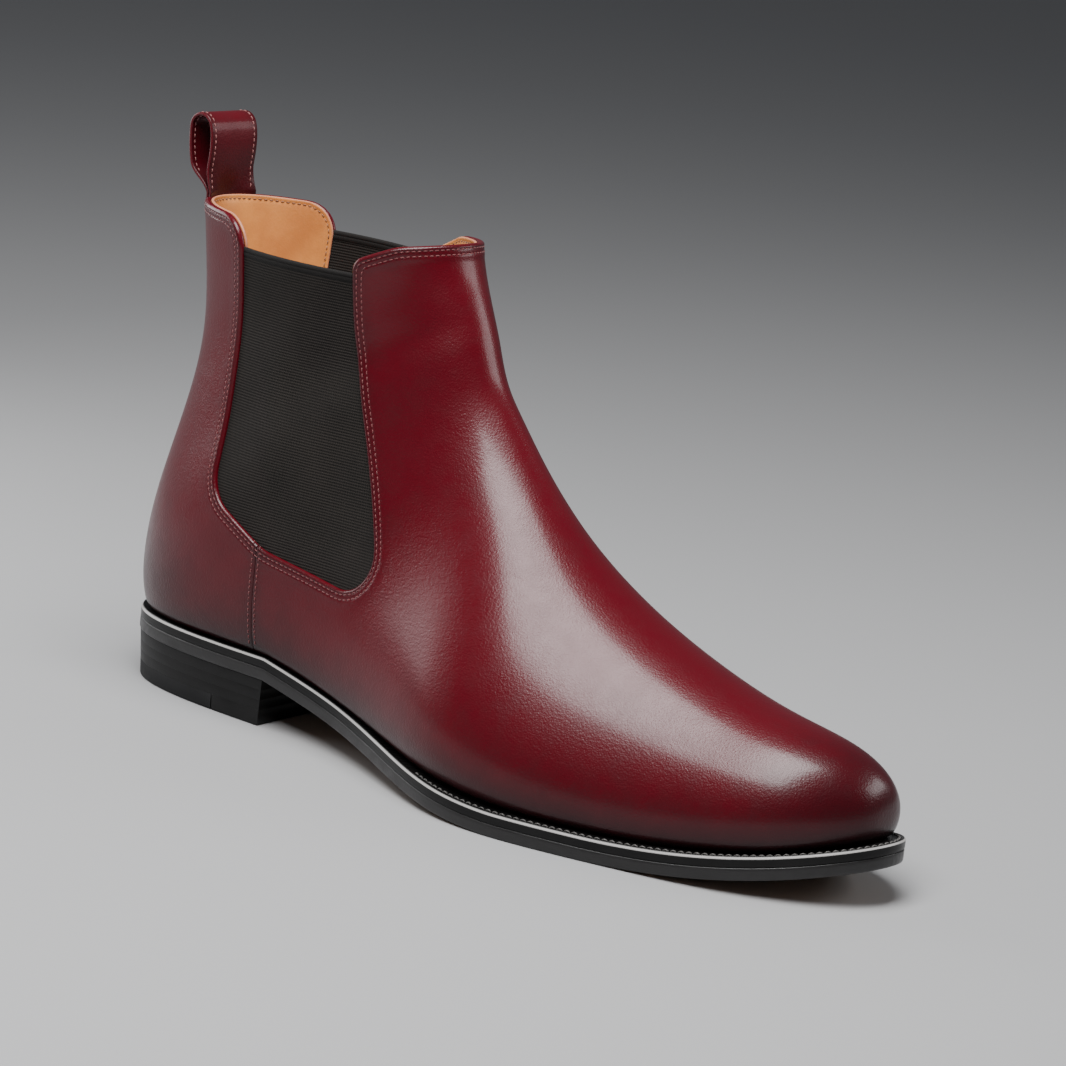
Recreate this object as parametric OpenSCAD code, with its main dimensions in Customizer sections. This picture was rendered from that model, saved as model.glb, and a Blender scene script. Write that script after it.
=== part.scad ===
// Chelsea ankle boot, right foot, welted sole with a stacked heel.
// Millimetres. X runs from heel to toe, Y to the inner side of the foot, Z up.
// The origin is on the ground under the middle of the boot.

/* [Upper] */
// Thickness of the outer leather
leather_t = 1.4; // [1.2:0.1:1.5]
// Thickness of the middle layer: elastic, stiffeners and interlining
middle_t = 0.95; // [0.8:0.05:1.1]
// Thickness of the lining leather
lining_t = 0.9; // [0.7:0.1:1.0]
// Height of the top edge at the back, above the ground
back_top = 178.5; // [174:0.5:180]
// Height of the elastic's top edge, above the ground
gore_top = 168; // [162:0.5:170]
// How far the elastic reaches under the leather around its opening
gore_lap = 8; // [6:0.5:9]

/* [Sole and heel] */
// Height of the heel, from the ground to the outsole
heel_h = 17.5; // [16.5:0.5:18]
// Thickness of the outsole
outsole_t = 4.5; // [4:0.1:5]
// Thickness of the welt and of the heel rand
welt_t = 4; // [3.5:0.1:4.2]
// Width of the welt strip, from the sole's edge inward
welt_w = 11; // [10:0.5:12]
// How high the toe lifts off the ground
toe_spring = 12.5; // [10:0.5:13]
// Thickness of the heel's top piece, the layer on the ground
top_piece_t = 6; // [5:0.5:7]
// How much each layer of the heel is smaller than the one above
heel_taper = 0.35; // [0:0.05:0.5]

/* [Pull tab] */
// Width of the pull tab's strap
tab_w = 24; // [20:1:26]
// Thickness of the strap, one ply
tab_ply = 1.3; // [1.1:0.1:1.5]
// Height of the loop above its hinge line
tab_h = 28; // [26:1:34]

/* [Hidden] */

// A film of cement or air between two layers that lie on each other.
glue = 0.05;
// Depth below the outer surface at which each layer starts and ends.
middle_in = leather_t + glue;
middle_out = middle_in + middle_t;
lining_in = middle_out + glue;
lining_out = lining_in + lining_t;

// The boot's outer surface is one closed sock through cross-sections that fan round from the
// toe, over the instep and up the leg. Each row is one section: front edge x, z; sole or back
// edge x, z; outer and inner half-width; centre y; then the shape of the section as shares of
// half-width and of height: the shoulder (y, h), the widest height, the lower corner (y, h).
SECTIONS = [
    [319,  28, 319, 28,  0,  0,  8, 0.75, 0.90, 0.50, 0.75, 0.10],
    [317,  40, 318, 16, 14, 14,  8, 0.75, 0.90, 0.50, 0.75, 0.10],
    [300,  50, 300,  6, 31, 26,  5, 0.72, 0.92, 0.45, 0.85, 0.04],
    [271,  53, 271,  0, 38, 32,  3, 0.70, 0.92, 0.38, 0.90, 0],
    [240,  62, 240, -2, 45, 41,  1, 0.66, 0.90, 0.32, 0.92, 0],
    [210,  75, 210, -1, 54, 43,  0, 0.62, 0.88, 0.30, 0.92, 0],
    [183,  94, 172,  1, 57, 38, -1, 0.60, 0.86, 0.30, 0.90, 0],
    [162, 114, 132,  5, 43, 34,  0, 0.62, 0.86, 0.30, 0.88, 0],
    [151, 127,  90, 12, 34, 33,  0, 0.66, 0.88, 0.30, 0.86, 0],
    [143, 136,  48, 13, 35, 33,  0, 0.68, 0.90, 0.30, 0.84, 0],
    [139, 145,  -2, 12, 36, 33,  0, 0.70, 0.92, 0.32, 0.76, 0.02],
    [136, 152, -10, 46, 34, 33,  0, 0.70, 0.93, 0.38, 0.68, 0.06],
    [133, 158,  -4, 76, 30, 32,  0, 0.70, 0.93, 0.42, 0.68, 0.06],
    [130, 164,   5, 104, 30, 31, 0, 0.70, 0.93, 0.46, 0.70, 0.07],
    [126, 171,  10, 130, 30, 32, 0, 0.70, 0.93, 0.50, 0.70, 0.07],
    [123, 178,   8, 156, 33, 33, 0, 0.70, 0.93, 0.50, 0.70, 0.07],
    [121, 186,   4, 184, 35, 34, 0, 0.70, 0.93, 0.50, 0.70, 0.07],
];

// Control points of the sole's edge seen from above, round from the back of the heel along the
// outer side to the toe and back along the inner side.
SOLE_EDGE = [
    [-6, -10], [8, -27], [40, -33], [80, -32], [112, -33], [145, -45], [180, -60],
    [216, -55], [250, -45], [279, -37], [308, -22], [325, -3], [325, 16], [308, 31],
    [282, 38], [255, 43], [222, 49], [185, 40], [145, 32], [105, 30], [70, 31],
    [37, 31], [8, 26], [-6, 10],
];

heel_front = 76;
ball_start = 205;
ball_end = 235;
toe_end = 320;
seam_x = 70;
// Height of the feather line, where the upper meets the welt, above the outsole's lower face.
feather = outsole_t + welt_t;
far = 400;

// The surface is measured on a grid of this many rows, toe to top, and columns round.
ROWS = 34;
COLUMNS = 28;

function unit(v) = v / norm(v);
function basis(t) = [pow(1 - t, 3), 3 * t * t * t - 6 * t * t + 4,
    -3 * t * t * t + 3 * t * t + 3 * t + 1, t * t * t] / 6;
function slope(t) = [-pow(1 - t, 2), 3 * t * t - 4 * t, -3 * t * t + 2 * t + 1, t * t] / 2;

// The eight control points of one section, as [share of half-width, share of height].
function section_shape(s) = let (
        side = (6 - s[7] - s[10]) / 4,
        top = (6 - 2 * s[8]) / 4,
        sole = -s[11] / 2)
    [[0, top], [s[7], s[8]], [side, s[9]], [s[10], s[11]],
     [0, sole], [-s[10], s[11]], [-side, s[9]], [-s[7], s[8]]];
function section_ring(s) = [for (q = section_shape(s))
    [s[2] + (s[0] - s[2]) * q.y, s[6] + q.x * (q.x > 0 ? s[5] : s[4]), s[3] + (s[1] - s[3]) * q.y]];

RINGS = [for (s = SECTIONS) section_ring(s)];
SPANS = len(RINGS) - 1;
// A ring beyond each end: the toe's is the first ring turned half round, so that the toe closes.
NET = concat([[for (k = [0:7]) RINGS[1][(k + 4) % 8]]], RINGS,
    [2 * RINGS[SPANS] - RINGS[SPANS - 1]]);

function patch(i, j) = [for (a = [0:3]) [for (b = [0:3]) NET[i + a][(j + b + 7) % 8]]];
function blend(p, row, column) = row * [for (a = [0:3]) column * p[a]];
function surface_point(u, v) = let (
        i = min(floor(u), SPANS - 1), j = floor(v), p = patch(i, j),
        point = blend(p, basis(u - i), basis(v - j)),
        along = blend(p, slope(u - i), basis(v - j)),
        round = blend(p, basis(u - i), slope(v - j)))
    [point, unit(cross(round, along))];

TOE = [surface_point(0, 0)[0], [1, 0, 0]];
GRID = [for (r = [1:ROWS]) [for (c = [0:COLUMNS - 1])
    surface_point(r * SPANS / ROWS, c * 8 / COLUMNS)]];

// One layer of points, a depth below the outer surface: the toe's point, then row by row. Every
// second point lies a hair deeper, so that no cut meets a facet pair that is quite flat.
hair = 0.03;
function layer(depth) = concat([TOE[0] - TOE[1] * depth],
    [for (r = [0:ROWS - 1]) for (c = [0:COLUMNS - 1]) let (p = GRID[r][c])
        p[0] - p[1] * (depth + hair * ((r + c) % 2))]);
function at(r, c) = r == 0 ? 0 : 1 + (r - 1) * COLUMNS + c % COLUMNS;
layer_size = 1 + ROWS * COLUMNS;
skin_faces = [for (r = [0:ROWS - 1]) for (c = [0:COLUMNS - 1])
    each r == 0 ? [[at(0, 0), at(1, c), at(1, c + 1)]]
        : [[at(r, c), at(r + 1, c), at(r + 1, c + 1)], [at(r, c), at(r + 1, c + 1), at(r, c + 1)]]];

// The skin between two depths, as one closed solid.
module shell(start, end) {
    inner_faces = [for (f = skin_faces) [f[2] + layer_size, f[1] + layer_size, f[0] + layer_size]];
    rim = [for (c = [0:COLUMNS - 1]) each [
        [at(ROWS, c), at(ROWS, c) + layer_size, at(ROWS, c + 1) + layer_size],
        [at(ROWS, c), at(ROWS, c + 1) + layer_size, at(ROWS, c + 1)]]];
    polyhedron(concat(layer(start), layer(end)), concat(skin_faces, inner_faces, rim));
}

// Everything inside a depth, closed flat across the top.
module core(depth) {
    points = layer(depth);
    crown = [for (c = [0:COLUMNS - 1]) [at(ROWS, c), layer_size, at(ROWS, c + 1)]];
    middle = (points[at(ROWS, 0)] + points[at(ROWS, COLUMNS / 2)]) / 2;
    polyhedron(concat(points, [middle]), concat(skin_faces, crown));
}

// Keeps a cut skin as one mesh of small flat facets.
module skin() {
    resize([0, 0, 0]) children();
}

// An outline drawn in X and Z, pushed across the boot: by default right through it.
module side_view(width = far) {
    rotate([90, 0, 0]) linear_extrude(width, center = true) children();
}
// The same, on the outer side only (-1) or on the inner side only (1).
module half_view(side) {
    translate([0, side > 0 ? far : 0, 0]) rotate([90, 0, 0]) linear_extrude(far) children();
}

// The lower face of the outsole: flat at the heel and the ball, arched between, lifted at the toe.
function ground_gap(x) =
    x < heel_front ? heel_h :
    x < ball_start ? heel_h * pow(1 - (x - heel_front) / (ball_start - heel_front), 1.5) :
    x < ball_end ? 0 : toe_spring * pow((x - ball_end) / (toe_end - ball_end), 2);
stations = concat([-40], [for (x = [heel_front:6:ball_start]) x], [ball_start + 1, ball_end],
    [for (x = [ball_end + 7:7:toe_end + 30]) x]);

// A band that follows the sole's lower face, between two heights above it.
module band_outline(low, high) {
    polygon(concat([for (x = stations) [x, ground_gap(x) + low]],
        [for (k = [len(stations) - 1:-1:0]) [stations[k], ground_gap(stations[k]) + high]]));
}
module sole_band(low, high) {
    side_view() band_outline(low, high);
}

// The sole's edge, smoothed and moved outward by a distance.
edge_count = len(SOLE_EDGE);
function edge_patch(k) = [for (a = [-1:2]) SOLE_EDGE[(k + a + edge_count) % edge_count]];
EDGE = [for (k = [0:edge_count - 1]) for (t = [0:0.25:0.75]) let (along = slope(t) * edge_patch(k))
    [basis(t) * edge_patch(k), unit([along.y, -along.x])]];
function edge_points(out) = [for (e = EDGE) e[0] + e[1] * out];
module sole_plan(out) {
    linear_extrude(60) polygon(edge_points(out));
}

// The part in front of, or behind, a plane across the boot.
module ahead_of(x) {
    translate([x, -far / 2, -far / 2]) cube(far);
}
module behind(x) {
    translate([x - far, -far / 2, -far / 2]) cube(far);
}

// An outline through corners, each with its own radius.
function rounded_corner(a, b, c, r) = r == 0 ? [b] : let (
        from = unit(a - b), to = unit(c - b), half = acos(from * to) / 2,
        centre = b + unit(from + to) * r / sin(half),
        first = b + from * r / tan(half) - centre, last = b + to * r / tan(half) - centre,
        start = atan2(first.y, first.x),
        turn = (atan2(last.y, last.x) - start + 540) % 360 - 180)
    [for (k = [0:6]) centre + r * [cos(start + turn * k / 6), sin(start + turn * k / 6)]];
function rounded(corners) = let (n = len(corners)) [for (k = [0:n - 1])
    let (a = corners[(k + n - 1) % n], b = corners[k], c = corners[(k + 1) % n])
    each rounded_corner([a.x, a.y], [b.x, b.y], [c.x, c.y], b.z)];

// On the inner side of the leg (side 1) the elastic lies further back and ends a little higher than
// on the outer side (side -1).
function inner_shift(side) = side > 0 ? -8 : 0;
function elastic_top(side) = gore_top + (side > 0 ? 1.5 : 0);
// The opening in the leather where the elastic shows, as [x, z, corner radius].
GORE_OPENING = [
    [44.5, far, 0], [44.5, 79.5, 16], [72, 65, 20], [127, 57, 12], [104, 122, 60], [94, 150, 110],
    [93.5, far, 0],
];
// Everything below the leather's top edge, which is higher at the front and at the back.
function below_top(side) = let (rear = 44.5 + inner_shift(side), front = 94 + inner_shift(side)) [
    [-60, -40, 0], [-60, back_top, 0], [rear, back_top, 12], [rear, 90, 0], [front, 90, 0],
    [front, back_top - 5.5, 5], [front + 14, back_top + 1.5, 20], [130, back_top + 6, 0],
    [far, back_top + 6, 0], [far, -40, 0],
];
// The heel counter and the toe puff, seen from the side.
COUNTER = [[-60, -40, 0], [-60, 62, 0], [14, 62, 20], [58, 44, 25], [96, 10, 0], [96, -40, 0]];
puff_x = 266;

module opening(side, lap = 0) {
    translate([inner_shift(side), 0]) offset(delta = lap) polygon(rounded(GORE_OPENING));
}
module in_front_of(x) {
    translate([x, -far]) square(2 * far);
}
// The upper seen from the side, without the elastic: all of it, then the part in front of the side
// seam and the part behind it.
module upper_outline(side) {
    difference() {
        intersection() {
            band_outline(feather + glue, far);
            polygon(rounded(below_top(side)));
        }
        opening(side);
    }
}
module front_outline(side) {
    intersection() {
        upper_outline(side);
        in_front_of(seam_x + glue);
    }
}
module rear_outline(side) {
    difference() {
        upper_outline(side);
        in_front_of(seam_x - glue);
    }
}
// A layer of the upper between two depths, cut to an outer and an inner outline seen from the side.
module upper_layer(start, end) {
    skin() intersection() {
        shell(start, end);
        union() {
            half_view(-1) children(0);
            half_view(1) children(1);
        }
    }
}

// Front part of the upper, from the toe to the side seams.
module vamp() {
    color("#4a0a12") upper_layer(0, leather_t) {
        front_outline(-1);
        front_outline(1);
    }
}

// Rear part of the upper, round the heel from seam to seam.
module quarter() {
    color("#4a0a12") upper_layer(0, leather_t) {
        rear_outline(-1);
        rear_outline(1);
    }
}

module vamp_lining() {
    color("#c58a55") upper_layer(lining_in, lining_out) {
        front_outline(-1);
        front_outline(1);
    }
}

module quarter_lining() {
    color("#c58a55") upper_layer(lining_in, lining_out) {
        rear_outline(-1);
        rear_outline(1);
    }
}

// The elastic side panels, each on its own side of the boot.
binding_h = 3.2;
binding_lift = 0.4;
module gore(side) {
    skin() intersection() {
        shell(middle_in, middle_out);
        half_view(side) difference() {
            opening(side, gore_lap);
            translate([-far, elastic_top(side) - binding_h - glue]) square(2 * far);
        }
    }
}
module lateral_gore() {
    color("#2b2727") gore(-1);
}
module medial_gore() {
    color("#2b2727") gore(1);
}

// The folded band along the top edge of the elastic, a little thicker than the panel.
module gore_binding(side) {
    skin() intersection() {
        shell(middle_in - binding_lift, middle_out + binding_lift);
        half_view(side) intersection() {
            opening(side, -glue);
            translate([0, elastic_top(side) - binding_h]) square([far, binding_h]);
        }
    }
}
module lateral_gore_binding() {
    color("#1d1a1a") gore_binding(-1);
}
module medial_gore_binding() {
    color("#1d1a1a") gore_binding(1);
}

// Stiffeners between leather and lining.
module puff_outline() {
    intersection() {
        front_outline(1);
        in_front_of(puff_x + glue);
    }
}
module counter_outline() {
    intersection() {
        band_outline(feather + glue, far);
        polygon(rounded(COUNTER));
    }
}
module toe_puff() {
    color("#b9a37c") upper_layer(middle_in, middle_out) {
        puff_outline();
        puff_outline();
    }
}
module heel_counter() {
    color("#a98b63") upper_layer(middle_in, middle_out) {
        counter_outline();
        counter_outline();
    }
}

// The thin cloth that fills the space between leather and lining elsewhere.
module cloth_outline(side) {
    difference() {
        children();
        opening(side, gore_lap + glue);
        offset(delta = glue) polygon(rounded(COUNTER));
        in_front_of(puff_x);
    }
}
module vamp_interlining() {
    color("#d9d2c0") upper_layer(middle_in, middle_out) {
        cloth_outline(-1) front_outline(-1);
        cloth_outline(1) front_outline(1);
    }
}
module quarter_interlining() {
    color("#d9d2c0") difference() {
        upper_layer(middle_in, middle_out) {
            cloth_outline(-1) rear_outline(-1);
            cloth_outline(1) rear_outline(1);
        }
        side_view(tab_w + 2 * glue) tail_outline(glue);
    }
}

// The pull tab: a strap folded into a loop. It bends at a line just above the top edge at the back.
hinge_x = 5.6;
hinge_z = back_top + tab_ply + 0.35;
tail_depth = 26;
loop_r = 5.6;
loop_back = 4.2;

module tail_outline(margin) {
    translate([-far, back_top - tail_depth - margin]) square([far + 40, far]);
}
// The ends of the strap, sewn between leather and lining.
module pull_tab_tail() {
    color("#4a0a12") skin() intersection() {
        shell(middle_in, middle_out);
        side_view(tab_w) intersection() {
            rear_outline(-1);
            tail_outline(0);
        }
    }
}

// The loop seen from the side, from the hinge line up; the ply at the front is the straighter.
function loop_outline(inset, base) = let (r = loop_r - inset, top = tab_h - loop_r)
    concat([[tab_ply - inset, base]],
        [for (a = [0:12:180]) [r * cos(a) + tab_ply - loop_r, top + r * sin(a)]],
        [[inset - tab_ply - loop_back * (base + 1) / 12, base + 2]]);
module pull_tab() {
    color("#4f0b14") translate([hinge_x, 0, hinge_z]) {
        rotate([90, 0, 0]) linear_extrude(tab_w, center = true) difference() {
            polygon(loop_outline(0, 0));
            polygon(loop_outline(tab_ply, 7));
        }
        rotate([90, 0, 0]) cylinder(r = tab_ply, h = tab_w, center = true, $fn = 32);
    }
}

// Inside the boot: the insole on the welt, and a soft sock over its heel end.
insole_t = 2.8;
sock_t = 1;
sock_front = 96;
module insole() {
    color("#c79a63") skin() intersection() {
        core(lining_out + 0.1);
        sole_band(feather + glue, feather + insole_t);
    }
}
module heel_sock() {
    color("#b97f4a") skin() intersection() {
        core(lining_out + 0.3);
        sole_band(feather + insole_t + glue, feather + insole_t + sock_t);
        behind(sock_front);
    }
}

// Under the insole, inside the ring of the welt.
rib_w = 1.8;
rib_h = 2.4;
module under_insole(out, low, high) {
    intersection() {
        sole_plan(out);
        sole_band(low, high);
    }
}
module insole_rib() {
    color("#d8ccae") skin() difference() {
        under_insole(-welt_w - 0.1, feather - rib_h, feather - glue);
        sole_plan(-welt_w - rib_w);
        behind(heel_front + 4);
    }
}
shank_w = 14;
shank_t = 1.2;
shank_start = 34;
shank_end = 150;
module shank_block(grow) {
    translate([shank_start - grow, -shank_w / 2 - grow - 2, 0])
        cube([shank_end - shank_start + 2 * grow, shank_w + 2 * grow, 60]);
}
module shank() {
    color("#8d9196") skin() intersection() {
        shank_block(0);
        sole_band(feather - shank_t - glue, feather - glue);
    }
}
module filler(low_x, high_x) {
    skin() difference() {
        under_insole(-welt_w - rib_w - 0.1, outsole_t + glue, feather - glue);
        behind(low_x);
        ahead_of(high_x);
        intersection() {
            shank_block(0.2);
            sole_band(feather - shank_t - 2 * glue, far);
        }
    }
}
module cork_filler() {
    color("#8a6239") filler(heel_front + glue, far);
}
module heel_seat() {
    color("#a87c4f") filler(-far / 2, heel_front - glue);
}

// The welt runs round the front from breast to breast, and the rand closes the ring at the heel.
module edge_ring() {
    difference() {
        under_insole(0, outsole_t + glue, feather);
        sole_plan(-welt_w);
    }
}
module welt() {
    color("#1a1718") skin() intersection() {
        edge_ring();
        ahead_of(heel_front + glue);
    }
}
module heel_rand() {
    color("#1a1718") skin() intersection() {
        edge_ring();
        behind(heel_front - glue);
    }
}

// Each stitch of the welt lies on its upper face, halfway between the edge and the upper.
stitch = [3.2, 0.7, 0.45];
stitch_pitch = 5;
stitch_inset = 2.1;
// Behind this the upper overhangs the welt, and the stitches run in under it.
stitch_start = 165;
row_points = edge_points(-stitch_inset);
row_lengths = [for (k = 0, s = 0; k < len(row_points);
    s = s + norm(row_points[(k + 1) % len(row_points)] - row_points[k]), k = k + 1) s];
row_end = row_lengths[len(row_lengths) - 1];
module welt_stitches() {
    color("#55504c") for (s = [0:stitch_pitch:row_end]) {
        k = len([for (l = row_lengths) if (l <= s) l]) - 1;
        a = row_points[k];
        b = row_points[(k + 1) % len(row_points)];
        p = a + unit(b - a) * (s - row_lengths[k]);
        rise = ground_gap(p.x + 1) - ground_gap(p.x);
        turn = atan2(b.y - a.y, b.x - a.x);
        if (p.x > stitch_start)
            translate([p.x, p.y, ground_gap(p.x) + feather + stitch.z / 2 + glue])
                rotate([0, 0, turn]) rotate([0, -atan(rise * cos(turn)), 0])
                    rotate([-atan(rise * sin(turn)), 0, 0]) cube(stitch, center = true);
    }
}

module outsole() {
    color("#141213") skin() intersection() {
        sole_plan(0);
        sole_band(0, outsole_t);
    }
}

// The heel: three leather lifts, then the top piece, leather in front and rubber behind.
lift_t = (heel_h - top_piece_t) / 3;
// The rubber's front edge leans across the heel, further forward on the outer side.
tip_line = [[54, -40], [34, 40]];
nail_r = 0.9;
nail_depth = 5;
NAILS = [[9, 0], [13, -12], [13, 12], [27, -21], [26, 20], [44, -23], [66, -22], [66, 21], [66, 0]];

module heel_shape(step) {
    intersection() {
        polygon(edge_points(-0.4 - heel_taper * step));
        translate([-far, -far / 2]) square([far + heel_front - heel_taper * step, far]);
    }
}
module heel_lift(step) {
    translate([0, 0, heel_h - lift_t * step]) linear_extrude(lift_t - glue) heel_shape(step);
}
module heel_lift_upper() {
    color("#1c1a1a") heel_lift(1);
}
module heel_lift_middle() {
    color("#1c1a1a") heel_lift(2);
}
module heel_lift_lower() {
    color("#1c1a1a") heel_lift(3);
}
module tip_side(shift) {
    polygon([tip_line[0] + [shift, 0], tip_line[1] + [shift, 0], [-60, 40], [-60, -40]]);
}
module nail_holes() {
    for (p = NAILS)
        translate([p.x, p.y, -1]) cylinder(r = nail_r + 0.02, h = nail_depth + 1.1, $fn = 24);
}
module top_piece() {
    color("#231d1b") difference() {
        linear_extrude(top_piece_t - glue) difference() {
            heel_shape(4);
            tip_side(glue);
        }
        nail_holes();
    }
}
module rubber_tip() {
    color("#1e1e1e") difference() {
        linear_extrude(top_piece_t - glue) intersection() {
            heel_shape(4);
            tip_side(-glue);
        }
        nail_holes();
    }
}
module heel_nails() {
    color("#b08d4c") for (p = NAILS)
        translate([p.x, p.y, 0.2]) cylinder(r = nail_r, h = nail_depth - 0.3, $fn = 24);
}

// Moves the boot so that the origin is under its middle.
lengthwise = concat([for (e = EDGE) e[0].x], [for (row = GRID) for (p = row) p[0].x]);
sideways = [for (e = EDGE) e[0].y];
module placed() {
    translate([-(min(lengthwise) + max(lengthwise)) / 2, -(min(sideways) + max(sideways)) / 2, 0]) children();
}

placed() vamp();
placed() quarter();
placed() lateral_gore();
placed() medial_gore();
placed() lateral_gore_binding();
placed() medial_gore_binding();
placed() vamp_lining();
placed() quarter_lining();
placed() vamp_interlining();
placed() quarter_interlining();
placed() toe_puff();
placed() heel_counter();
placed() pull_tab();
placed() pull_tab_tail();
placed() insole();
placed() heel_sock();
placed() insole_rib();
placed() cork_filler();
placed() shank();
placed() heel_seat();
placed() welt();
placed() welt_stitches();
placed() heel_rand();
placed() outsole();
placed() heel_lift_upper();
placed() heel_lift_middle();
placed() heel_lift_lower();
placed() top_piece();
placed() rubber_tip();
placed() heel_nails();
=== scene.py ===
"""Looks for a chelsea boot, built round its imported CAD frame, in metres."""
import math

import bmesh
import bpy
import numpy as np
from mathutils import Matrix, Vector


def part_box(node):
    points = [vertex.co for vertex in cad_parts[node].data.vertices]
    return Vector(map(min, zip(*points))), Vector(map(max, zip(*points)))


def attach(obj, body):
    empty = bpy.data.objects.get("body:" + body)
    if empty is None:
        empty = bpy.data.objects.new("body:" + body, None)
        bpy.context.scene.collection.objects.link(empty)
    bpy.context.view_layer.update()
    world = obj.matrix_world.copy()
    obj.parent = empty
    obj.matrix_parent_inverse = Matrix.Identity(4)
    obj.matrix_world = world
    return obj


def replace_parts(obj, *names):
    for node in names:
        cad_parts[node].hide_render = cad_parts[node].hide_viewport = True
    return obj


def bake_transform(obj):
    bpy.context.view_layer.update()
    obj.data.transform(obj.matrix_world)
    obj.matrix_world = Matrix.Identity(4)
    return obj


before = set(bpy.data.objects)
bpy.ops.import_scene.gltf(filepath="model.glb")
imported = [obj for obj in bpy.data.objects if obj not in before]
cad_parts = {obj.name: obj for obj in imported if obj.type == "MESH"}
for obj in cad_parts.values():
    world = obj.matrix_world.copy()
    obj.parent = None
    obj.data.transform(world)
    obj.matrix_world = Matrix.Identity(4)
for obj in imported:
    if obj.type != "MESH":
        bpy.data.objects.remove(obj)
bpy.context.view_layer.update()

# --- The last's surface ------------------------------------------------------------------
# A boot is lasted: its leather is pulled over a foot-shaped form, so every layer of the upper
# follows one surface, a smooth sock through cross-sections that fan round from toe to top edge.
#
# Each row is a section in millimetres from the heel: front edge x, z; sole or back edge x, z;
# outer and inner half-width; centre y; then, as shares of half-width and of height, the shoulder
# (y, h), the widest height and the lower corner (y, h).
SECTIONS = [
    [319, 28, 319, 28, 0, 0, 8, 0.75, 0.90, 0.50, 0.75, 0.10],
    [317, 40, 318, 16, 14, 14, 8, 0.75, 0.90, 0.50, 0.75, 0.10],
    [300, 50, 300, 6, 31, 26, 5, 0.72, 0.92, 0.45, 0.85, 0.04],
    [271, 53, 271, 0, 38, 32, 3, 0.70, 0.92, 0.38, 0.90, 0],
    [240, 62, 240, -2, 45, 41, 1, 0.66, 0.90, 0.32, 0.92, 0],
    [210, 75, 210, -1, 54, 43, 0, 0.62, 0.88, 0.30, 0.92, 0],
    [183, 94, 172, 1, 57, 38, -1, 0.60, 0.86, 0.30, 0.90, 0],
    [162, 114, 132, 5, 43, 34, 0, 0.62, 0.86, 0.30, 0.88, 0],
    [151, 127, 90, 12, 34, 33, 0, 0.66, 0.88, 0.30, 0.86, 0],
    [143, 136, 48, 13, 35, 33, 0, 0.68, 0.90, 0.30, 0.84, 0],
    [139, 145, -2, 12, 36, 33, 0, 0.70, 0.92, 0.32, 0.76, 0.02],
    [136, 152, -10, 46, 34, 33, 0, 0.70, 0.93, 0.38, 0.68, 0.06],
    [133, 158, -4, 76, 30, 32, 0, 0.70, 0.93, 0.42, 0.68, 0.06],
    [130, 164, 5, 104, 30, 31, 0, 0.70, 0.93, 0.46, 0.70, 0.07],
    [126, 171, 10, 130, 30, 32, 0, 0.70, 0.93, 0.50, 0.70, 0.07],
    [123, 178, 8, 156, 33, 33, 0, 0.70, 0.93, 0.50, 0.70, 0.07],
    [121, 186, 4, 184, 35, 34, 0, 0.70, 0.93, 0.50, 0.70, 0.07],
]


def section_ring(s):
    """The eight control points of one section."""
    side, top, sole = (6 - s[7] - s[10]) / 4, (6 - 2 * s[8]) / 4, -s[11] / 2
    shape = [(0, top), (s[7], s[8]), (side, s[9]), (s[10], s[11]),
             (0, sole), (-s[10], s[11]), (-side, s[9]), (-s[7], s[8])]
    return [(s[2] + (s[0] - s[2]) * h, s[6] + w * (s[5] if w > 0 else s[4]),
             s[3] + (s[1] - s[3]) * h) for w, h in shape]


RINGS = np.array([section_ring(s) for s in SECTIONS], float)
SPANS = len(RINGS) - 1
NET = np.concatenate([RINGS[1:2, [4, 5, 6, 7, 0, 1, 2, 3]], RINGS, [2 * RINGS[-1] - RINGS[-2]]])


def basis(t):
    """Shares of four neighbouring control points at a place between the middle two."""
    return np.stack([(1 - t) ** 3, 3 * t ** 3 - 6 * t ** 2 + 4,
                     -3 * t ** 3 + 3 * t ** 2 + 3 * t + 1, t ** 3], -1) / 6


def slope(t):
    """How fast those shares change."""
    return np.stack([-(1 - t) ** 2, 3 * t ** 2 - 4 * t, -3 * t ** 2 + 2 * t + 1, t ** 2], -1) / 2


def sock(u, v):
    """Points and outward normals of the last's surface, u from toe to top, v round it."""
    i = np.clip(np.floor(u), 0, SPANS - 1).astype(int)
    j = np.floor(v).astype(int)
    four = np.arange(4)
    p = NET[(i[:, None] + four)[:, :, None], ((j[:, None] + four + 7) % 8)[:, None, :]]
    bu, bv, su, sv = basis(u - i), basis(v - j), slope(u - i), slope(v - j)
    point = np.einsum("na,nb,nabc->nc", bu, bv, p)
    normal = np.cross(np.einsum("na,nb,nabc->nc", bu, sv, p), np.einsum("na,nb,nabc->nc", su, bv, p))
    length = np.linalg.norm(normal, axis=1, keepdims=True)
    return point, np.where(length < 1e-6, [[1.0, 0, 0]], normal / np.maximum(length, 1e-9))


# Control points of the sole's edge seen from above, closed.
SOLE_EDGE = np.array([
    (-6, -10), (8, -27), (40, -33), (80, -32), (112, -33), (145, -45), (180, -60), (216, -55),
    (250, -45), (279, -37), (308, -22), (325, -3), (325, 16), (308, 31), (282, 38), (255, 43),
    (222, 49), (185, 40), (145, 32), (105, 30), (70, 31), (37, 31), (8, 26), (-6, 10)], float)


def sole_curve(step):
    """Points and outward directions along the sole's edge."""
    t = np.arange(0, len(SOLE_EDGE), step)
    k = np.floor(t).astype(int)
    p = SOLE_EDGE[(k[:, None] + np.arange(-1, 3)) % len(SOLE_EDGE)]
    along = np.einsum("na,nac->nc", slope(t - k), p)
    out = np.stack([along[:, 1], -along[:, 0]], 1) / np.linalg.norm(along, axis=1, keepdims=True)
    return np.einsum("na,nac->nc", basis(t - k), p), out


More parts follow.
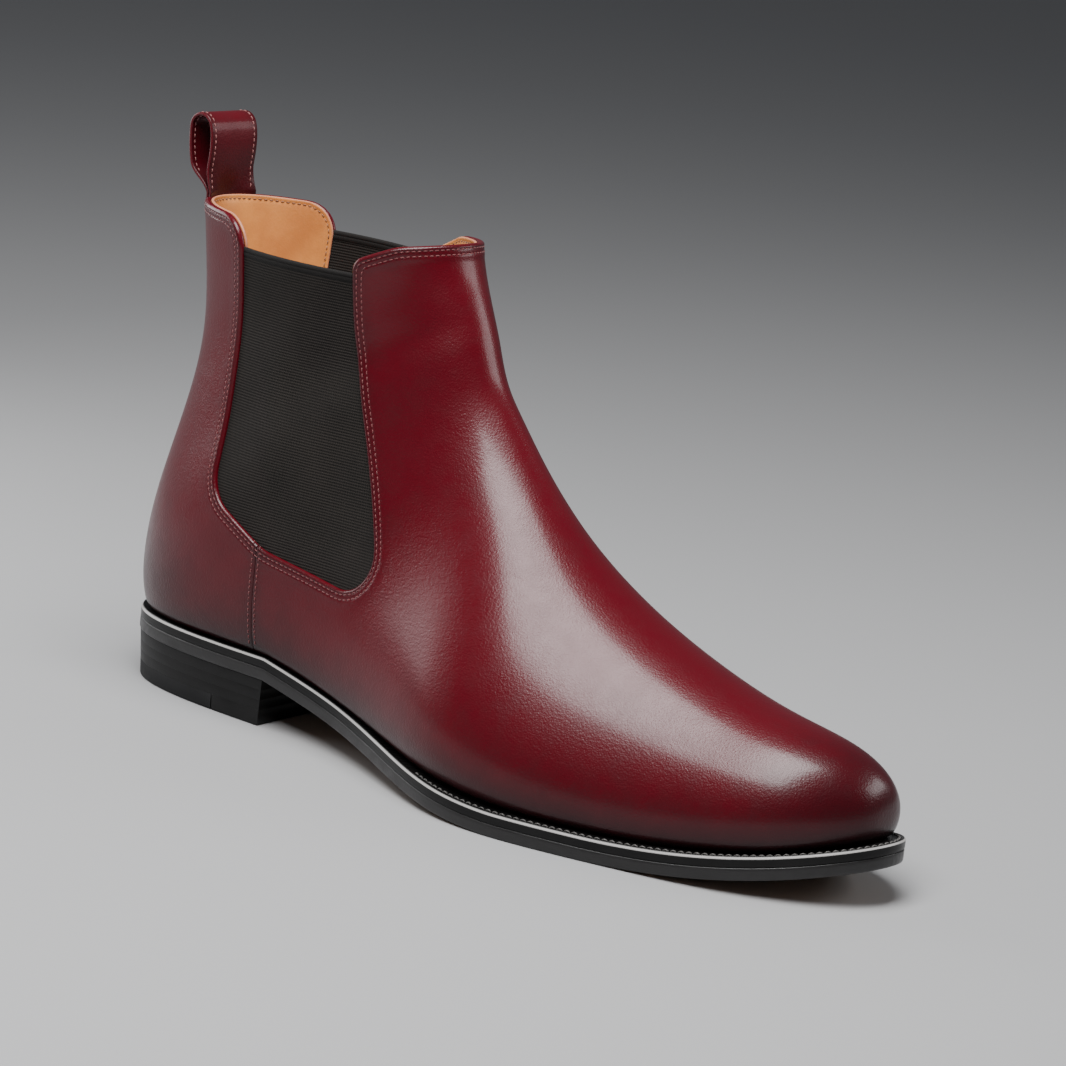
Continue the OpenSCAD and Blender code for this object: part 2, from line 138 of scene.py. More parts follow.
HEEL_FRONT, BALL_START, BALL_END, TOE_END = 76.0, 205.0, 235.0, 320.0
HEEL_H, TOE_SPRING, OUTSOLE_T, WELT_T, WELT_W = 17.5, 12.5, 4.5, 4.0, 11.0
FEATHER = OUTSOLE_T + WELT_T
BACK_TOP, GORE_TOP, SEAM_X, PUFF_X, FAR = 178.5, 168.0, 70.0, 266.0, 400.0
LEATHER_T, MIDDLE_IN, MIDDLE_OUT, LINING_IN, LINING_OUT = 1.4, 1.45, 2.40, 2.45, 3.35


def ground_gap(x):
    """Height of the sole's lower face: flat heel and ball, arched waist, lifted toe."""
    waist = HEEL_H * np.clip(1 - (x - HEEL_FRONT) / (BALL_START - HEEL_FRONT), 0, 1) ** 1.5
    toe = TOE_SPRING * np.clip((x - BALL_END) / (TOE_END - BALL_END), 0, 2) ** 2
    return np.where(x < HEEL_FRONT, HEEL_H, np.where(x < BALL_START, waist, toe))


edge_now = sole_curve(0.25)[0]
SHIFT = np.array([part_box("outsole")[1].x * 1000 - edge_now[:, 0].max(),
                  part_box("outsole")[0].y * 1000 - edge_now[:, 1].min(), 0])


def placed(points):
    """Millimetres from the heel become metres in the shared frame."""
    return (np.asarray(points, float).reshape(-1, 3) + SHIFT) / 1000


# --- Outlines of the leather -------------------------------------------------------------
# The pattern pieces are cut from flat leather: an opening at each side for the elastic, a top
# edge higher at front and back, and a short side seam from the opening down to the sole. The
# corners are seen from the side, each x, z and its radius.
GORE_OPENING = [(44.5, FAR, 0), (44.5, 79.5, 16), (72, 65, 20), (127, 57, 12), (104, 122, 60),
                (94, 150, 110), (93.5, FAR, 0)]
# Everything below the top edge.
TOP_EDGE = [(-60, -40, 0), (-60, BACK_TOP, 0), (44.5, BACK_TOP, 12), (44.5, 90, 0), (94, 90, 0),
            (94, BACK_TOP - 5.5, 5), (108, BACK_TOP + 1.5, 20), (130, BACK_TOP + 6, 0),
            (FAR, BACK_TOP + 6, 0), (FAR, -40, 0)]
# On the inner side of the leg the opening lies further back and its elastic ends a little higher.
INNER_SHIFT, INNER_RISE = -8.0, 1.5
# The heel counter, which cups the heel inside.
COUNTER = [(-60, -40, 0), (-60, 62, 0), (14, 62, 20), (58, 44, 25), (96, 10, 0), (96, -40, 0)]


def rounded(corners, steps=14):
    """A closed outline through corners, each with its own radius."""
    made = []
    for k, (x, z, r) in enumerate(corners):
        b = np.array([x, z], float)
        if not r:
            made.append(b)
            continue
        to_a, to_c = (np.array(corners[k - 1][:2], float) - b,
                      np.array(corners[(k + 1) % len(corners)][:2], float) - b)
        to_a, to_c = to_a / np.linalg.norm(to_a), to_c / np.linalg.norm(to_c)
        half = math.acos(float(to_a @ to_c)) / 2
        middle = (to_a + to_c) / np.linalg.norm(to_a + to_c)
        centre = b + middle * r / math.sin(half)
        first, last = b + to_a * r / math.tan(half) - centre, b + to_c * r / math.tan(half) - centre
        start = math.atan2(first[1], first[0])
        turn = (math.atan2(last[1], last[0]) - start + 3 * math.pi) % (2 * math.pi) - math.pi
        for s in range(steps + 1):
            a = start + turn * s / steps
            made.append(centre + r * np.array([math.cos(a), math.sin(a)]))
    return np.array(made)


def inside_by(outline, xz):
    """How far each point lies inside a closed outline; outside is negative."""
    nearest = np.full(len(xz), 1e9)
    inside = np.zeros(len(xz), bool)
    for a, b in zip(outline, np.roll(outline, -1, 0)):
        d = b - a
        t = np.clip(((xz - a) @ d) / max(d @ d, 1e-12), 0, 1)
        nearest = np.minimum(nearest, np.linalg.norm(xz - a - t[:, None] * d, axis=1))
        crosses = (a[1] > xz[:, 1]) != (b[1] > xz[:, 1])
        at = a[0] + (xz[:, 1] - a[1]) * d[0] / (d[1] if abs(d[1]) > 1e-12 else 1e-12)
        inside ^= crosses & (xz[:, 0] < at)
    return np.where(inside, nearest, -nearest)


# --- Cutting sheets ----------------------------------------------------------------------
# Each layer starts as a fine net over the last, is trimmed along its outline, and is given the
# leather's thickness with its edges turned over. A table row is u, v, then four distances in
# millimetres: from the folded rim, ahead of the side seam, above the feather line, and extra.
RIM, SEAM, FOOT, EXTRA = 2, 3, 4, 5
UPPER_ROWS, UPPER_COLUMNS = 15, 20


def full_net(extra=None):
    """The whole sock as a table and triangles."""
    rows, columns = SPANS * UPPER_ROWS, 8 * UPPER_COLUMNS
    u, v = np.meshgrid(np.arange(rows + 1) / UPPER_ROWS, np.arange(columns + 1) / UPPER_COLUMNS,
                       indexing="ij")
    u, v = u.ravel(), v.ravel()
    p = sock(u, v)[0]
    xz = p[:, [0, 2]]
    # The inner side's outlines are moved back, fading out where the sides meet at the shin.
    shin = np.clip((p[:, 0] - 100) / 18, 0, 1) * np.clip((p[:, 2] - 125) / 25, 0, 1)
    inner = (p[:, 1] > 0) * (1 - shin)
    seen = xz - np.outer(inner, (INNER_SHIFT, 0))
    rim = np.minimum(-inside_by(rounded(GORE_OPENING), seen), inside_by(rounded(TOP_EDGE), seen))
    more = np.zeros(len(u)) if extra is None else extra(p)
    table = np.stack([u, v, rim, p[:, 0] - SEAM_X, p[:, 2] - ground_gap(p[:, 0]) - FEATHER, more], 1)
    a = (np.arange(rows)[:, None] * (columns + 1) + np.arange(columns)).ravel()
    b, c, d = a + columns + 1, a + columns + 2, a + 1
    return table, np.concatenate([np.stack([a, b, c], 1), np.stack([a, c, d], 1)])


def split(table, faces, column, level):
    """Cuts every triangle that crosses a level of one column, so that points lie on it."""
    s = table[:, column] - level
    s[np.abs(s) < 0.02] = 0
    table = table.copy()
    table[s == 0, column] = level
    side = np.sign(s)
    f = side[faces]
    spread = (f.min(1) < 0) & (f.max(1) > 0)
    keep, cut = faces[~spread], faces[spread]
    if not len(cut):
        return table, faces
    # Turn each cut triangle so that its first point is alone on its side, or lies on the level.
    g = side[cut]
    first = np.where((g == 0).any(1), np.argmax(g == 0, 1),
                     np.argmax(g == -np.sign(g.sum(1))[:, None], 1))
    cut = cut[np.arange(len(cut))[:, None], (first[:, None] + np.arange(3)) % 3]
    g = side[cut]
    on = g[:, 0] == 0
    pairs = np.concatenate([cut[on][:, [1, 2]], cut[~on][:, [0, 1]], cut[~on][:, [0, 2]]])
    low, high = pairs.min(1), pairs.max(1)
    keys, where = np.unique(low * len(table) + high, return_inverse=True)
    a, b = keys // len(table), keys % len(table)
    t = (s[a] / (s[a] - s[b]))[:, None]
    fresh = table[a] + (table[b] - table[a]) * t
    fresh[:, column] = level
    m = where.ravel() + len(table)
    n, o = int(on.sum()), int((~on).sum())
    m0, m1, m2 = m[:n], m[n:n + o], m[n + o:]
    c0, c1 = cut[on], cut[~on]
    parts = [keep, np.stack([c0[:, 0], c0[:, 1], m0], 1), np.stack([c0[:, 0], m0, c0[:, 2]], 1),
             np.stack([c1[:, 0], m1, m2], 1), np.stack([m1, c1[:, 1], c1[:, 2]], 1),
             np.stack([m1, c1[:, 2], m2], 1)]
    return np.concatenate([table, fresh]), np.concatenate(parts)


def trim(net, column, level, marks=()):
    """Keeps what lies above a level, and sets rows of points along further levels."""
    table, faces = split(*net, column, level)
    faces = faces[(table[faces, column] > level).any(1) & (table[faces, column] >= level).all(1)]
    for mark in marks:
        table, faces = split(table, faces, column, mark)
    used, faces = np.unique(faces, return_inverse=True)
    return table[used], faces.reshape(-1, 3)


def closed_round(net):
    """Joins the net's first and last columns, and its points at the toe."""
    table, faces = net
    key = np.round(np.stack([table[:, 0], np.where(table[:, 0] < 1e-6, 0, table[:, 1] % 8)], 1), 6)
    first, where = np.unique(key, axis=0, return_index=True, return_inverse=True)[1:]
    faces = where.ravel()[faces]
    real = (faces[:, 0] != faces[:, 1]) & (faces[:, 1] != faces[:, 2]) & (faces[:, 0] != faces[:, 2])
    return table[first], faces[real]


def lay(table, depth):
    """Points of a table at a depth below the last's outer surface."""
    point, normal = sock(table[:, 0], table[:, 1])
    return point - normal * np.asarray(depth).reshape(-1, 1)


def mesh_piece(name, points, faces, materials, smooth=True):
    """A mesh object from points in millimetres from the heel."""
    mesh = bpy.data.meshes.new(name)
    mesh.from_pydata(placed(points).tolist(), [], [list(map(int, f)) for f in faces])
    mesh.validate()
    for m in materials:
        mesh.materials.append(m)
    mesh.polygons.foreach_set("use_smooth", [smooth] * len(mesh.polygons))
    piece = bpy.data.objects.new(name, mesh)
    bpy.context.scene.collection.objects.link(piece)
    return piece


def point_values(piece, name, values):
    """Stores one number at each point of a piece, for its material."""
    piece.data.attributes.new(name, "FLOAT", "POINT").data.foreach_set(
        "value", np.asarray(values, np.float32))


def two_sided(name, net, outer, inner, rims, materials):
    """A layer between two depths; its two faces meet along the rims, a list of (column, level)."""
    table, faces = net
    meets = np.zeros(len(table), bool)
    for column, level in rims:
        meets |= table[:, column] == level
    twin = np.where(meets, np.arange(len(table)), len(table) + np.cumsum(~meets) - 1)
    points = np.concatenate([lay(table, outer), lay(table, inner)[~meets]])
    piece = mesh_piece(name, points, np.concatenate([faces, twin[faces][:, ::-1]]), materials)
    return piece, np.concatenate([np.arange(len(table)), np.flatnonzero(~meets)])


def round_over(distance, radius):
    """1 at an edge, falling to 0 at a radius from it, as a quarter circle does."""
    t = np.clip(1 - distance / radius, 0, 1)
    return 1 - np.sqrt(np.maximum(0, 1 - t * t))


def furrow(distance, at, half):
    """1 along a line at a distance, falling smoothly to 0 on both sides of it."""
    t = np.clip(np.abs(distance - at) / half, 0, 1)
    return (1 + np.cos(np.pi * t)) / 2


# --- Burgundy leather --------------------------------------------------------------------
# Aniline calf, dyed burgundy and polished, its colour made darker towards the sole, the toe,
# the heel and the seams. The grain shows as fine pebbles and short creases.
def new_material(name):
    """A material with a bare shader, and the texture coordinates for its patterns."""
    m = bpy.data.materials.new(name)
    m.use_nodes = True
    nodes, links = m.node_tree.nodes, m.node_tree.links
    nodes.clear()
    out = nodes.new("ShaderNodeOutputMaterial")
    shader = nodes.new("ShaderNodeBsdfPrincipled")
    links.new(shader.outputs["BSDF"], out.inputs["Surface"])
    where = nodes.new("ShaderNodeTexCoord")
    return m, nodes, links, shader, where


def texture(nodes, links, where, kind, scale, stretch=(1, 1, 1), **settings):
    """A noise or Voronoi texture in metres on the object, scale in cells for each metre."""
    mapping = nodes.new("ShaderNodeMapping")
    mapping.inputs["Scale"].default_value = stretch
    links.new(where.outputs["Object"], mapping.inputs["Vector"])
    t = nodes.new(kind)
    t.inputs["Scale"].default_value = scale
    for key, value in settings.items():
        if key in t.inputs:
            t.inputs[key].default_value = value
        else:
            setattr(t, key, value)
    links.new(mapping.outputs["Vector"], t.inputs["Vector"])
    return t


def spread(nodes, links, value, low, high, to_low=0.0, to_high=1.0):
    """A value between two limits, made to run between two others."""
    r = nodes.new("ShaderNodeMapRange")
    r.interpolation_type = "SMOOTHSTEP"
    links.new(value, r.inputs["Value"])
    for key, number in (("From Min", low), ("From Max", high), ("To Min", to_low), ("To Max", to_high)):
        r.inputs[key].default_value = number
    return r.outputs["Result"]


def arithmetic(nodes, links, operation, a, b):
    """A sum or another operation on two sockets or numbers."""
    m = nodes.new("ShaderNodeMath")
    m.operation = operation
    for socket, value in zip(m.inputs, (a, b)):
        if isinstance(value, (int, float)):
            socket.default_value = value
        else:
            links.new(value, socket)
    return m.outputs[0]


def mixed(nodes, links, factor, a, b, blend="MIX"):
    """Two colours mixed by a factor; a colour is a socket or three linear numbers."""
    m = nodes.new("ShaderNodeMix")
    m.data_type = "RGBA"
    m.blend_type = blend
    if isinstance(factor, (int, float)):
        m.inputs[0].default_value = factor
    else:
        links.new(factor, m.inputs[0])
    for socket, value in zip((m.inputs[6], m.inputs[7]), (a, b)):
        if isinstance(value, tuple):
            socket.default_value = (*value, 1)
        else:
            links.new(value, socket)
    return m.outputs[2]


def bumped(nodes, links, shader, *layers):
    """Stacks bumps on a shader, each (height, distance in metres, strength)."""
    last = None
    for height, distance, strength in layers:
        b = nodes.new("ShaderNodeBump")
        b.inputs["Distance"].default_value = distance
        b.inputs["Strength"].default_value = strength
        links.new(height, b.inputs["Height"])
        if last:
            links.new(last, b.inputs["Normal"])
        last = b.outputs["Normal"]
    links.new(last, shader.inputs["Normal"])


def attribute(nodes, name):
    """The number that a piece stores at each of its points."""
    a = nodes.new("ShaderNodeAttribute")
    a.attribute_name = name
    return a.outputs["Fac"]


def leather_material(name, bright, middle, dark, gloss=1.0):
    """Polished leather, darker at each point by the amount stored there, from 0 bare to 1 nearly black.
    """
    m, nodes, links, shader, where = new_material(name)
    cloud = texture(nodes, links, where, "ShaderNodeTexNoise", 22, Detail=4, Roughness=0.55)
    mottle = texture(nodes, links, where, "ShaderNodeTexNoise", 150, Detail=5, Roughness=0.6)
    grain = texture(nodes, links, where, "ShaderNodeTexVoronoi", 1500, (1, 1, 1),
                    feature="SMOOTH_F1", Smoothness=0.6)
    pore = texture(nodes, links, where, "ShaderNodeTexNoise", 900, (1, 1.2, 0.8), Detail=3)
    crease = texture(nodes, links, where, "ShaderNodeTexNoise", 800, (0.6, 1, 1.7), Detail=3,
                     Distortion=0.4)
    darkening = attribute(nodes, "darkening")
    crush = attribute(nodes, "crush")
    uneven = arithmetic(nodes, links, "ADD", darkening,
                        spread(nodes, links, cloud.outputs["Fac"], 0.3, 0.7, -0.05, 0.05))
    uneven = arithmetic(nodes, links, "ADD", uneven,
                        spread(nodes, links, mottle.outputs["Fac"], 0.3, 0.7, -0.04, 0.04))
    first = mixed(nodes, links, spread(nodes, links, uneven, 0.05, 0.5), bright, middle)
    base = mixed(nodes, links, spread(nodes, links, uneven, 0.4, 1.0), first, dark)
    links.new(base, shader.inputs["Base Color"])
    rough = spread(nodes, links, mottle.outputs["Fac"], 0.25, 0.75, 0.30 / gloss, 0.38 / gloss)
    links.new(rough, shader.inputs["Roughness"])
    shader.inputs["Specular IOR Level"].default_value = 0.26 * gloss
    shader.inputs["Coat Weight"].default_value = 0.32 * gloss
    shader.inputs["Coat Roughness"].default_value = 0.2
    shader.inputs["Coat IOR"].default_value = 1.45
    depth = arithmetic(nodes, links, "MULTIPLY", crease.outputs["Fac"], crush)
    bumped(nodes, links, shader, (grain.outputs["Distance"], 0.00013, 0.45),
           (pore.outputs["Fac"], 0.00018, 0.45), (depth, 0.0003, 0.4))
    return m


burgundy = leather_material("burgundy_leather", (0.086, 0.0004, 0.0052), (0.042, 0.0003, 0.0030),
                            (0.009, 0.0005, 0.0012))
strap_leather = leather_material("strap_leather", (0.080, 0.0020, 0.0065), (0.045, 0.0012, 0.0036),
                                 (0.012, 0.0008, 0.0016), 0.7)


def darkening_of(p):
    """Darker towards the sole, the toe tip and the back of the heel."""
    x, z = p[:, 0], p[:, 2]
    above = z - ground_gap(x) - FEATHER
    low = 0.9 * np.exp(-np.maximum(above, 0) / 7)
    toe = 0.35 * np.clip((x - 262) / 55, 0, 1) ** 1.4
    counter = 0.55 * np.exp(-(x / 34) ** 2 - ((z - 34) / 26) ** 2)
    return np.clip(0.12 + np.maximum(np.maximum(low, toe), counter) + 0.3 * low * toe, 0, 1.1)


def crush_of(p):
    """Creases gather across the instep and round the ankle."""
    x, z = p[:, 0], p[:, 2]
    bend = np.exp(-((x - 150) / 38) ** 2 - ((z - 58) / 30) ** 2)
    ankle = 0.6 * np.exp(-((x - 128) / 26) ** 2 - ((z - 95) / 38) ** 2)
    return np.clip(bend + ankle, 0, 1)


# --- Front and rear panels ---------------------------------------------------------------
# The vamp wraps the foot from toe to shin, the quarter wraps the heel. Their rims round the
# elastic and the top are skived, folded over and sewn with two rows; the side seam is closed
# and pressed flat, and the lower edges are turned in and sewn to the welt.
#
# Distances from the rim, the side seam and the feather line at which the sheets get extra points.
ROW_A, ROW_B = 1.7, 3.5
MARKS = (0.06, 0.2, 0.45, 0.8, 1.2, 1.45, ROW_A, 1.95, 2.4, 3.2, ROW_B, 3.8, 4.6)
SEAM_MARKS = (0.07, 0.2, 0.45, 0.8, 1.5, 2.4)
FOOT_LOW = -0.4
FOOT_MARKS = (0.4, 1.2, 2.2, 3.4)


def upper_depths(table, seam):
    """Outer and inner depth of the burgundy leather, with folded rims and sewn furrows."""
    rim, foot = table[:, RIM], table[:, FOOT]
    folded, fold_end = 2.3, 4.6
    rolled = round_over(rim, 1.15)
    pressed = round_over(seam, 0.7)
    tucked = 0.9 * np.clip(1 - (foot - FOOT_LOW) / 3.8, 0, 1) ** 2
    sewn = 0.16 * (furrow(rim, ROW_A, 0.5) + furrow(rim, ROW_B, 0.5)) + 0.1 * furrow(rim, 2.6, 1.6)
    proud = -0.25 * np.clip(1 - (rim - ROW_B) / 2.5, 0, 1)
    outer = tucked + sewn + proud + rolled * (folded / 2 + 0.25) + pressed * 0.6
    thick = np.where(rim < fold_end, folded, LEATHER_T)
    inner = thick + tucked - rolled * folded / 2 - pressed * (LEATHER_T - 0.6)
    return outer, np.maximum(inner, outer)


def rows_of(net, column, level, low=None):
    """Chains of points along one level of a sheet, as tables."""
    table, faces = net
    on = table[:, column] == level
    pairs = np.concatenate([faces[:, [0, 1]], faces[:, [1, 2]], faces[:, [2, 0]]])
    pairs = np.unique(np.sort(pairs[on[pairs].all(1)], axis=1), axis=0)
    near = {}
    for a, b in pairs:
        near.setdefault(int(a), []).append(int(b))
        near.setdefault(int(b), []).append(int(a))
    chains, seen = [], set()
    ends = [k for k, n in near.items() if len(n) == 1] + list(near)
    for start in ends:
        if start in seen:
            continue
        chain = [start]
        seen.add(start)
        while True:
            onward = [k for k in near[chain[-1]] if k not in seen]
            if not onward:
                break
            chain.append(onward[0])
            seen.add(onward[0])
        if len(near[start]) > 1 and chain[0] in near[chain[-1]] and len(chain) > 2:
            chain.append(chain[0])
        if len(chain) > 4:
            chains.append(table[chain])
    if low is not None:
        chains = [c[c[:, FOOT] > low] for c in chains]
    return [c for c in chains if len(c) > 4]


base_net = full_net()
front_net = closed_round(trim(trim(trim(base_net, RIM, 0, MARKS), SEAM, 0.05, SEAM_MARKS),
                              FOOT, FOOT_LOW, FOOT_MARKS))
turned_net = base_net[0].copy(), base_net[1]
turned_net[0][:, SEAM] *= -1
rear_net = closed_round(trim(trim(trim(turned_net, RIM, 0, MARKS), SEAM, 0.05, SEAM_MARKS),
                             FOOT, FOOT_LOW, FOOT_MARKS))


def upper_panel(name, net, *nodes):
    """One panel of the upper, with how much darker it is at each point, and its creases."""
    table = net[0]
    outer, inner = upper_depths(table, table[:, SEAM])
    piece, row = two_sided(name, net, outer, inner, [(RIM, 0), (SEAM, 0.05), (FOOT, FOOT_LOW)],
                           [burgundy])
    p = sock(table[:, 0], table[:, 1])[0]
    # Darker along the rims and the side seam; lighter right at the worn rim.
    edge = 0.35 * np.exp(-table[:, RIM] / 3.0) + 0.3 * np.exp(-table[:, SEAM] / 2.5)
    worn = 0.5 * np.exp(-np.maximum(table[:, RIM], 0) / 0.35)
    point_values(piece, "darkening", (darkening_of(p) + edge - worn)[row])
    point_values(piece, "crush", crush_of(p)[row])
    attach(piece, "boot")
    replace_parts(piece, *nodes)


upper_panel("front_panel", front_net, "vamp")
upper_panel("rear_panel", rear_net, "quarter")

# --- Lining ------------------------------------------------------------------------------
# Undyed calf lines the whole inside, flesh side hidden, with its own seam under the side seam.
# Its raw edge shows just below the folded rim, sewn through with the rim's outer row.
def lining_material():
    m, nodes, links, shader, where = new_material("tan_lining_leather")
    cloud = texture(nodes, links, where, "ShaderNodeTexNoise", 45, Detail=5, Roughness=0.6)
    fine = texture(nodes, links, where, "ShaderNodeTexNoise", 1400, Detail=3)
    crease = texture(nodes, links, where, "ShaderNodeTexNoise", 60, (1, 1, 0.35), Detail=4,
                     Distortion=0.6)
    tone = mixed(nodes, links, spread(nodes, links, cloud.outputs["Fac"], 0.3, 0.72),
                 (0.74, 0.285, 0.066), (0.54, 0.18, 0.04))
    edge = mixed(nodes, links, attribute(nodes, "worn_edge"), tone, (0.50, 0.20, 0.13))
    links.new(edge, shader.inputs["Base Color"])
    links.new(spread(nodes, links, fine.outputs["Fac"], 0.3, 0.7, 0.42, 0.58),
              shader.inputs["Roughness"])
    bumped(nodes, links, shader, (fine.outputs["Fac"], 0.00012, 0.4),
           (crease.outputs["Fac"], 0.0012, 0.35))
    return m


tan_lining = lining_material()
LINING_MARKS = (0.35, 0.5, 0.8, 1.5, ROW_A, 1.9)


def lining_panel(name, net, *nodes):
    """One panel of the lining; gives back its sheet for the sewing."""
    net = closed_round(trim(net, RIM, 0.2, LINING_MARKS))
    rim, seam = net[0][:, RIM], net[0][:, SEAM]
    close = np.clip(1 - (rim - 0.2) / 5, 0, 1)
    outer = LINING_IN - 0.12 * close + round_over(rim - 0.2, 0.4) * 0.4
    outer = outer + round_over(seam - 0.05, 0.3) * 0.2
    sewn = 0.14 * furrow(rim, ROW_A, 0.5)
    inner = LINING_OUT - sewn - round_over(rim - 0.2, 0.4) * 0.4 - round_over(seam - 0.05, 0.4) * 0.25
    meet = (net[0][:, RIM] == 0.2) | (net[0][:, SEAM] == 0.05)
    middle = (outer + inner) / 2
    outer, inner = np.where(meet, middle, outer), np.where(meet, middle, inner)
    piece, row = two_sided(name, net, outer, inner, [(RIM, 0.2), (SEAM, 0.05), (FOOT, 0.05)],
                           [tan_lining])
    point_values(piece, "worn_edge", np.clip(1 - (rim - 0.2) / 0.45, 0, 1)[row])
    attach(piece, "boot")
    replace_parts(piece, *nodes)
    return net


lining_front_net = lining_panel(
    "front_lining", trim(trim(base_net, SEAM, 0.05, (0.2, 0.5)), FOOT, 0.05), "vamp_lining")
lining_rear_net = lining_panel(
    "rear_lining", trim(trim(turned_net, SEAM, 0.05, (0.2, 0.5)), FOOT, 0.05), "quarter_lining")

# --- Stiffeners and interlinings ---------------------------------------------------------
# Between leather and lining: a pressed fibre puff over the toe, a fibre counter cupping the
# heel, and thin cotton twill everywhere else, all cemented in, each of even thickness.
def fibre_material(name, light, shade, scale):
    m, nodes, links, shader, where = new_material(name)
    flecks = texture(nodes, links, where, "ShaderNodeTexNoise", scale, Detail=6, Roughness=0.7)
    links.new(mixed(nodes, links, spread(nodes, links, flecks.outputs["Fac"], 0.35, 0.65), light,
                    shade), shader.inputs["Base Color"])
    shader.inputs["Roughness"].default_value = 0.9
    bumped(nodes, links, shader, (flecks.outputs["Fac"], 0.0002, 0.5))
    return m


pressed_fibre = fibre_material("pressed_fibre", (0.45, 0.33, 0.19), (0.27, 0.18, 0.09), 700)
cotton_twill = fibre_material("cotton_twill", (0.68, 0.63, 0.52), (0.52, 0.47, 0.38), 2500)


def inner_layer(name, net, material, node):
    """A plain layer of even thickness between leather and lining."""
    outer = np.full(len(net[0]), MIDDLE_IN + 0.04)
    inner = np.full(len(net[0]), MIDDLE_OUT - 0.04)
    points = np.concatenate([lay(net[0], outer), lay(net[0], inner)])
    faces, n = net[1], len(net[0])
    edges = np.concatenate([faces[:, [0, 1]], faces[:, [1, 2]], faces[:, [2, 0]]])
    once, count = np.unique(np.sort(edges, axis=1), axis=0, return_counts=True)
    lone = {tuple(e) for e in once[count == 1]}
    rim = [(b, a, a + n, b + n) for a, b in edges if (min(a, b), max(a, b)) in lone]
    piece = mesh_piece(name, points, [*faces, *(faces[:, ::-1] + n), *rim], [material])
    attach(piece, "boot")
    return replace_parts(piece, node)


def counter_part(p):
    return inside_by(rounded(COUNTER), p[:, [0, 2]])


def puff_part(p):
    return p[:, 0] - PUFF_X


counter_net, puff_net = full_net(counter_part), full_net(puff_part)
inner_layer("heel_counter_cup", closed_round(trim(trim(counter_net, EXTRA, 0), FOOT, 0.05)),
            pressed_fibre, "heel_counter")
inner_layer("toe_puff_cap", closed_round(trim(trim(puff_net, EXTRA, 0.05), FOOT, 0.05)),
            pressed_fibre, "toe_puff")
cloth = full_net(lambda p: np.minimum(-counter_part(p), -puff_part(p)))
cloth = trim(trim(cloth, RIM, 8.1), EXTRA, 0.05)
behind = cloth[0].copy()
behind[:, SEAM] *= -1
inner_layer("front_interlining", closed_round(trim(trim(cloth, SEAM, 0.05), FOOT, 0.05)),
            cotton_twill, "vamp_interlining")
inner_layer("rear_interlining", closed_round(trim(trim((behind, cloth[1]), SEAM, 0.05), FOOT, 0.05)),
            cotton_twill, "quarter_interlining")

# --- Elastic side panels -----------------------------------------------------------------
# Woven elastic, ribbed across the leg at a millimetre pitch, lies under the leather round each
# opening. Its top edge is folded into a smooth band with one pressed line along its middle.
RIB = 1.0
BAND_H = 3.2
PANEL_LAP, BAND_LAP = 3.0, 1.5


def elastic_material(name, light, shade, ribbed):
    """Threads that alternate from one rib to the next, with painted shade: light on the rib and dark
    between.
    """
    m, nodes, links, shader, where = new_material(name)
    cloud = texture(nodes, links, where, "ShaderNodeTexNoise", 60, Detail=3)
    lint = texture(nodes, links, where, "ShaderNodeTexNoise", 2200, Detail=2)
    axes = nodes.new("ShaderNodeSeparateXYZ")
    links.new(where.outputs["Object"], axes.inputs[0])
    turns = 2 * math.pi * 1000
    row = arithmetic(nodes, links, "FLOOR", arithmetic(
        nodes, links, "MULTIPLY", axes.outputs[2], 1000 / (RIB if ribbed else 0.4)), 0)
    along = arithmetic(nodes, links, "ADD",
                       arithmetic(nodes, links, "MULTIPLY", axes.outputs[0], turns / 0.75),
                       arithmetic(nodes, links, "MULTIPLY", row, math.pi))
    thread = arithmetic(nodes, links, "SINE", along, 0)
    # Painted shade: lighter on each rib, darker in the grooves between ribs.
    rib = arithmetic(nodes, links, "SINE",
                     arithmetic(nodes, links, "MULTIPLY", axes.outputs[2], turns / RIB), 0)
    weave = arithmetic(nodes, links, "ADD", arithmetic(nodes, links, "MULTIPLY", thread, 0.5),
                       arithmetic(nodes, links, "MULTIPLY", lint.outputs["Fac"], 0.9))
    tone = arithmetic(nodes, links, "ADD", weave,
                      arithmetic(nodes, links, "MULTIPLY", rib, 0.7 if ribbed else 0.0))
    tone = arithmetic(nodes, links, "ADD", tone, cloud.outputs["Fac"])
    links.new(mixed(nodes, links, spread(nodes, links, tone, -0.1, 2.0), shade, light),
              shader.inputs["Base Color"])
    shader.inputs["Roughness"].default_value = 0.82
    shader.inputs["Specular IOR Level"].default_value = 0.22
    shader.inputs["Sheen Weight"].default_value = 0.03
    shader.inputs["Sheen Roughness"].default_value = 0.4
    bumped(nodes, links, shader, (weave, 0.00012, 0.6))
    return m


ribbed_elastic = elastic_material("ribbed_elastic", (0.024, 0.0195, 0.0165),
                                  (0.003, 0.0025, 0.0022), True)
elastic_band = elastic_material("elastic_band", (0.016, 0.014, 0.013),
                                (0.006, 0.0055, 0.005), False)
side_u, side_v = np.meshgrid(np.arange(5, 16.01, 0.05), np.arange(0, 8, 0.1), indexing="ij")
side_u, side_v = side_u.ravel(), side_v.ravel()
side_p = sock(side_u, side_v)[0]


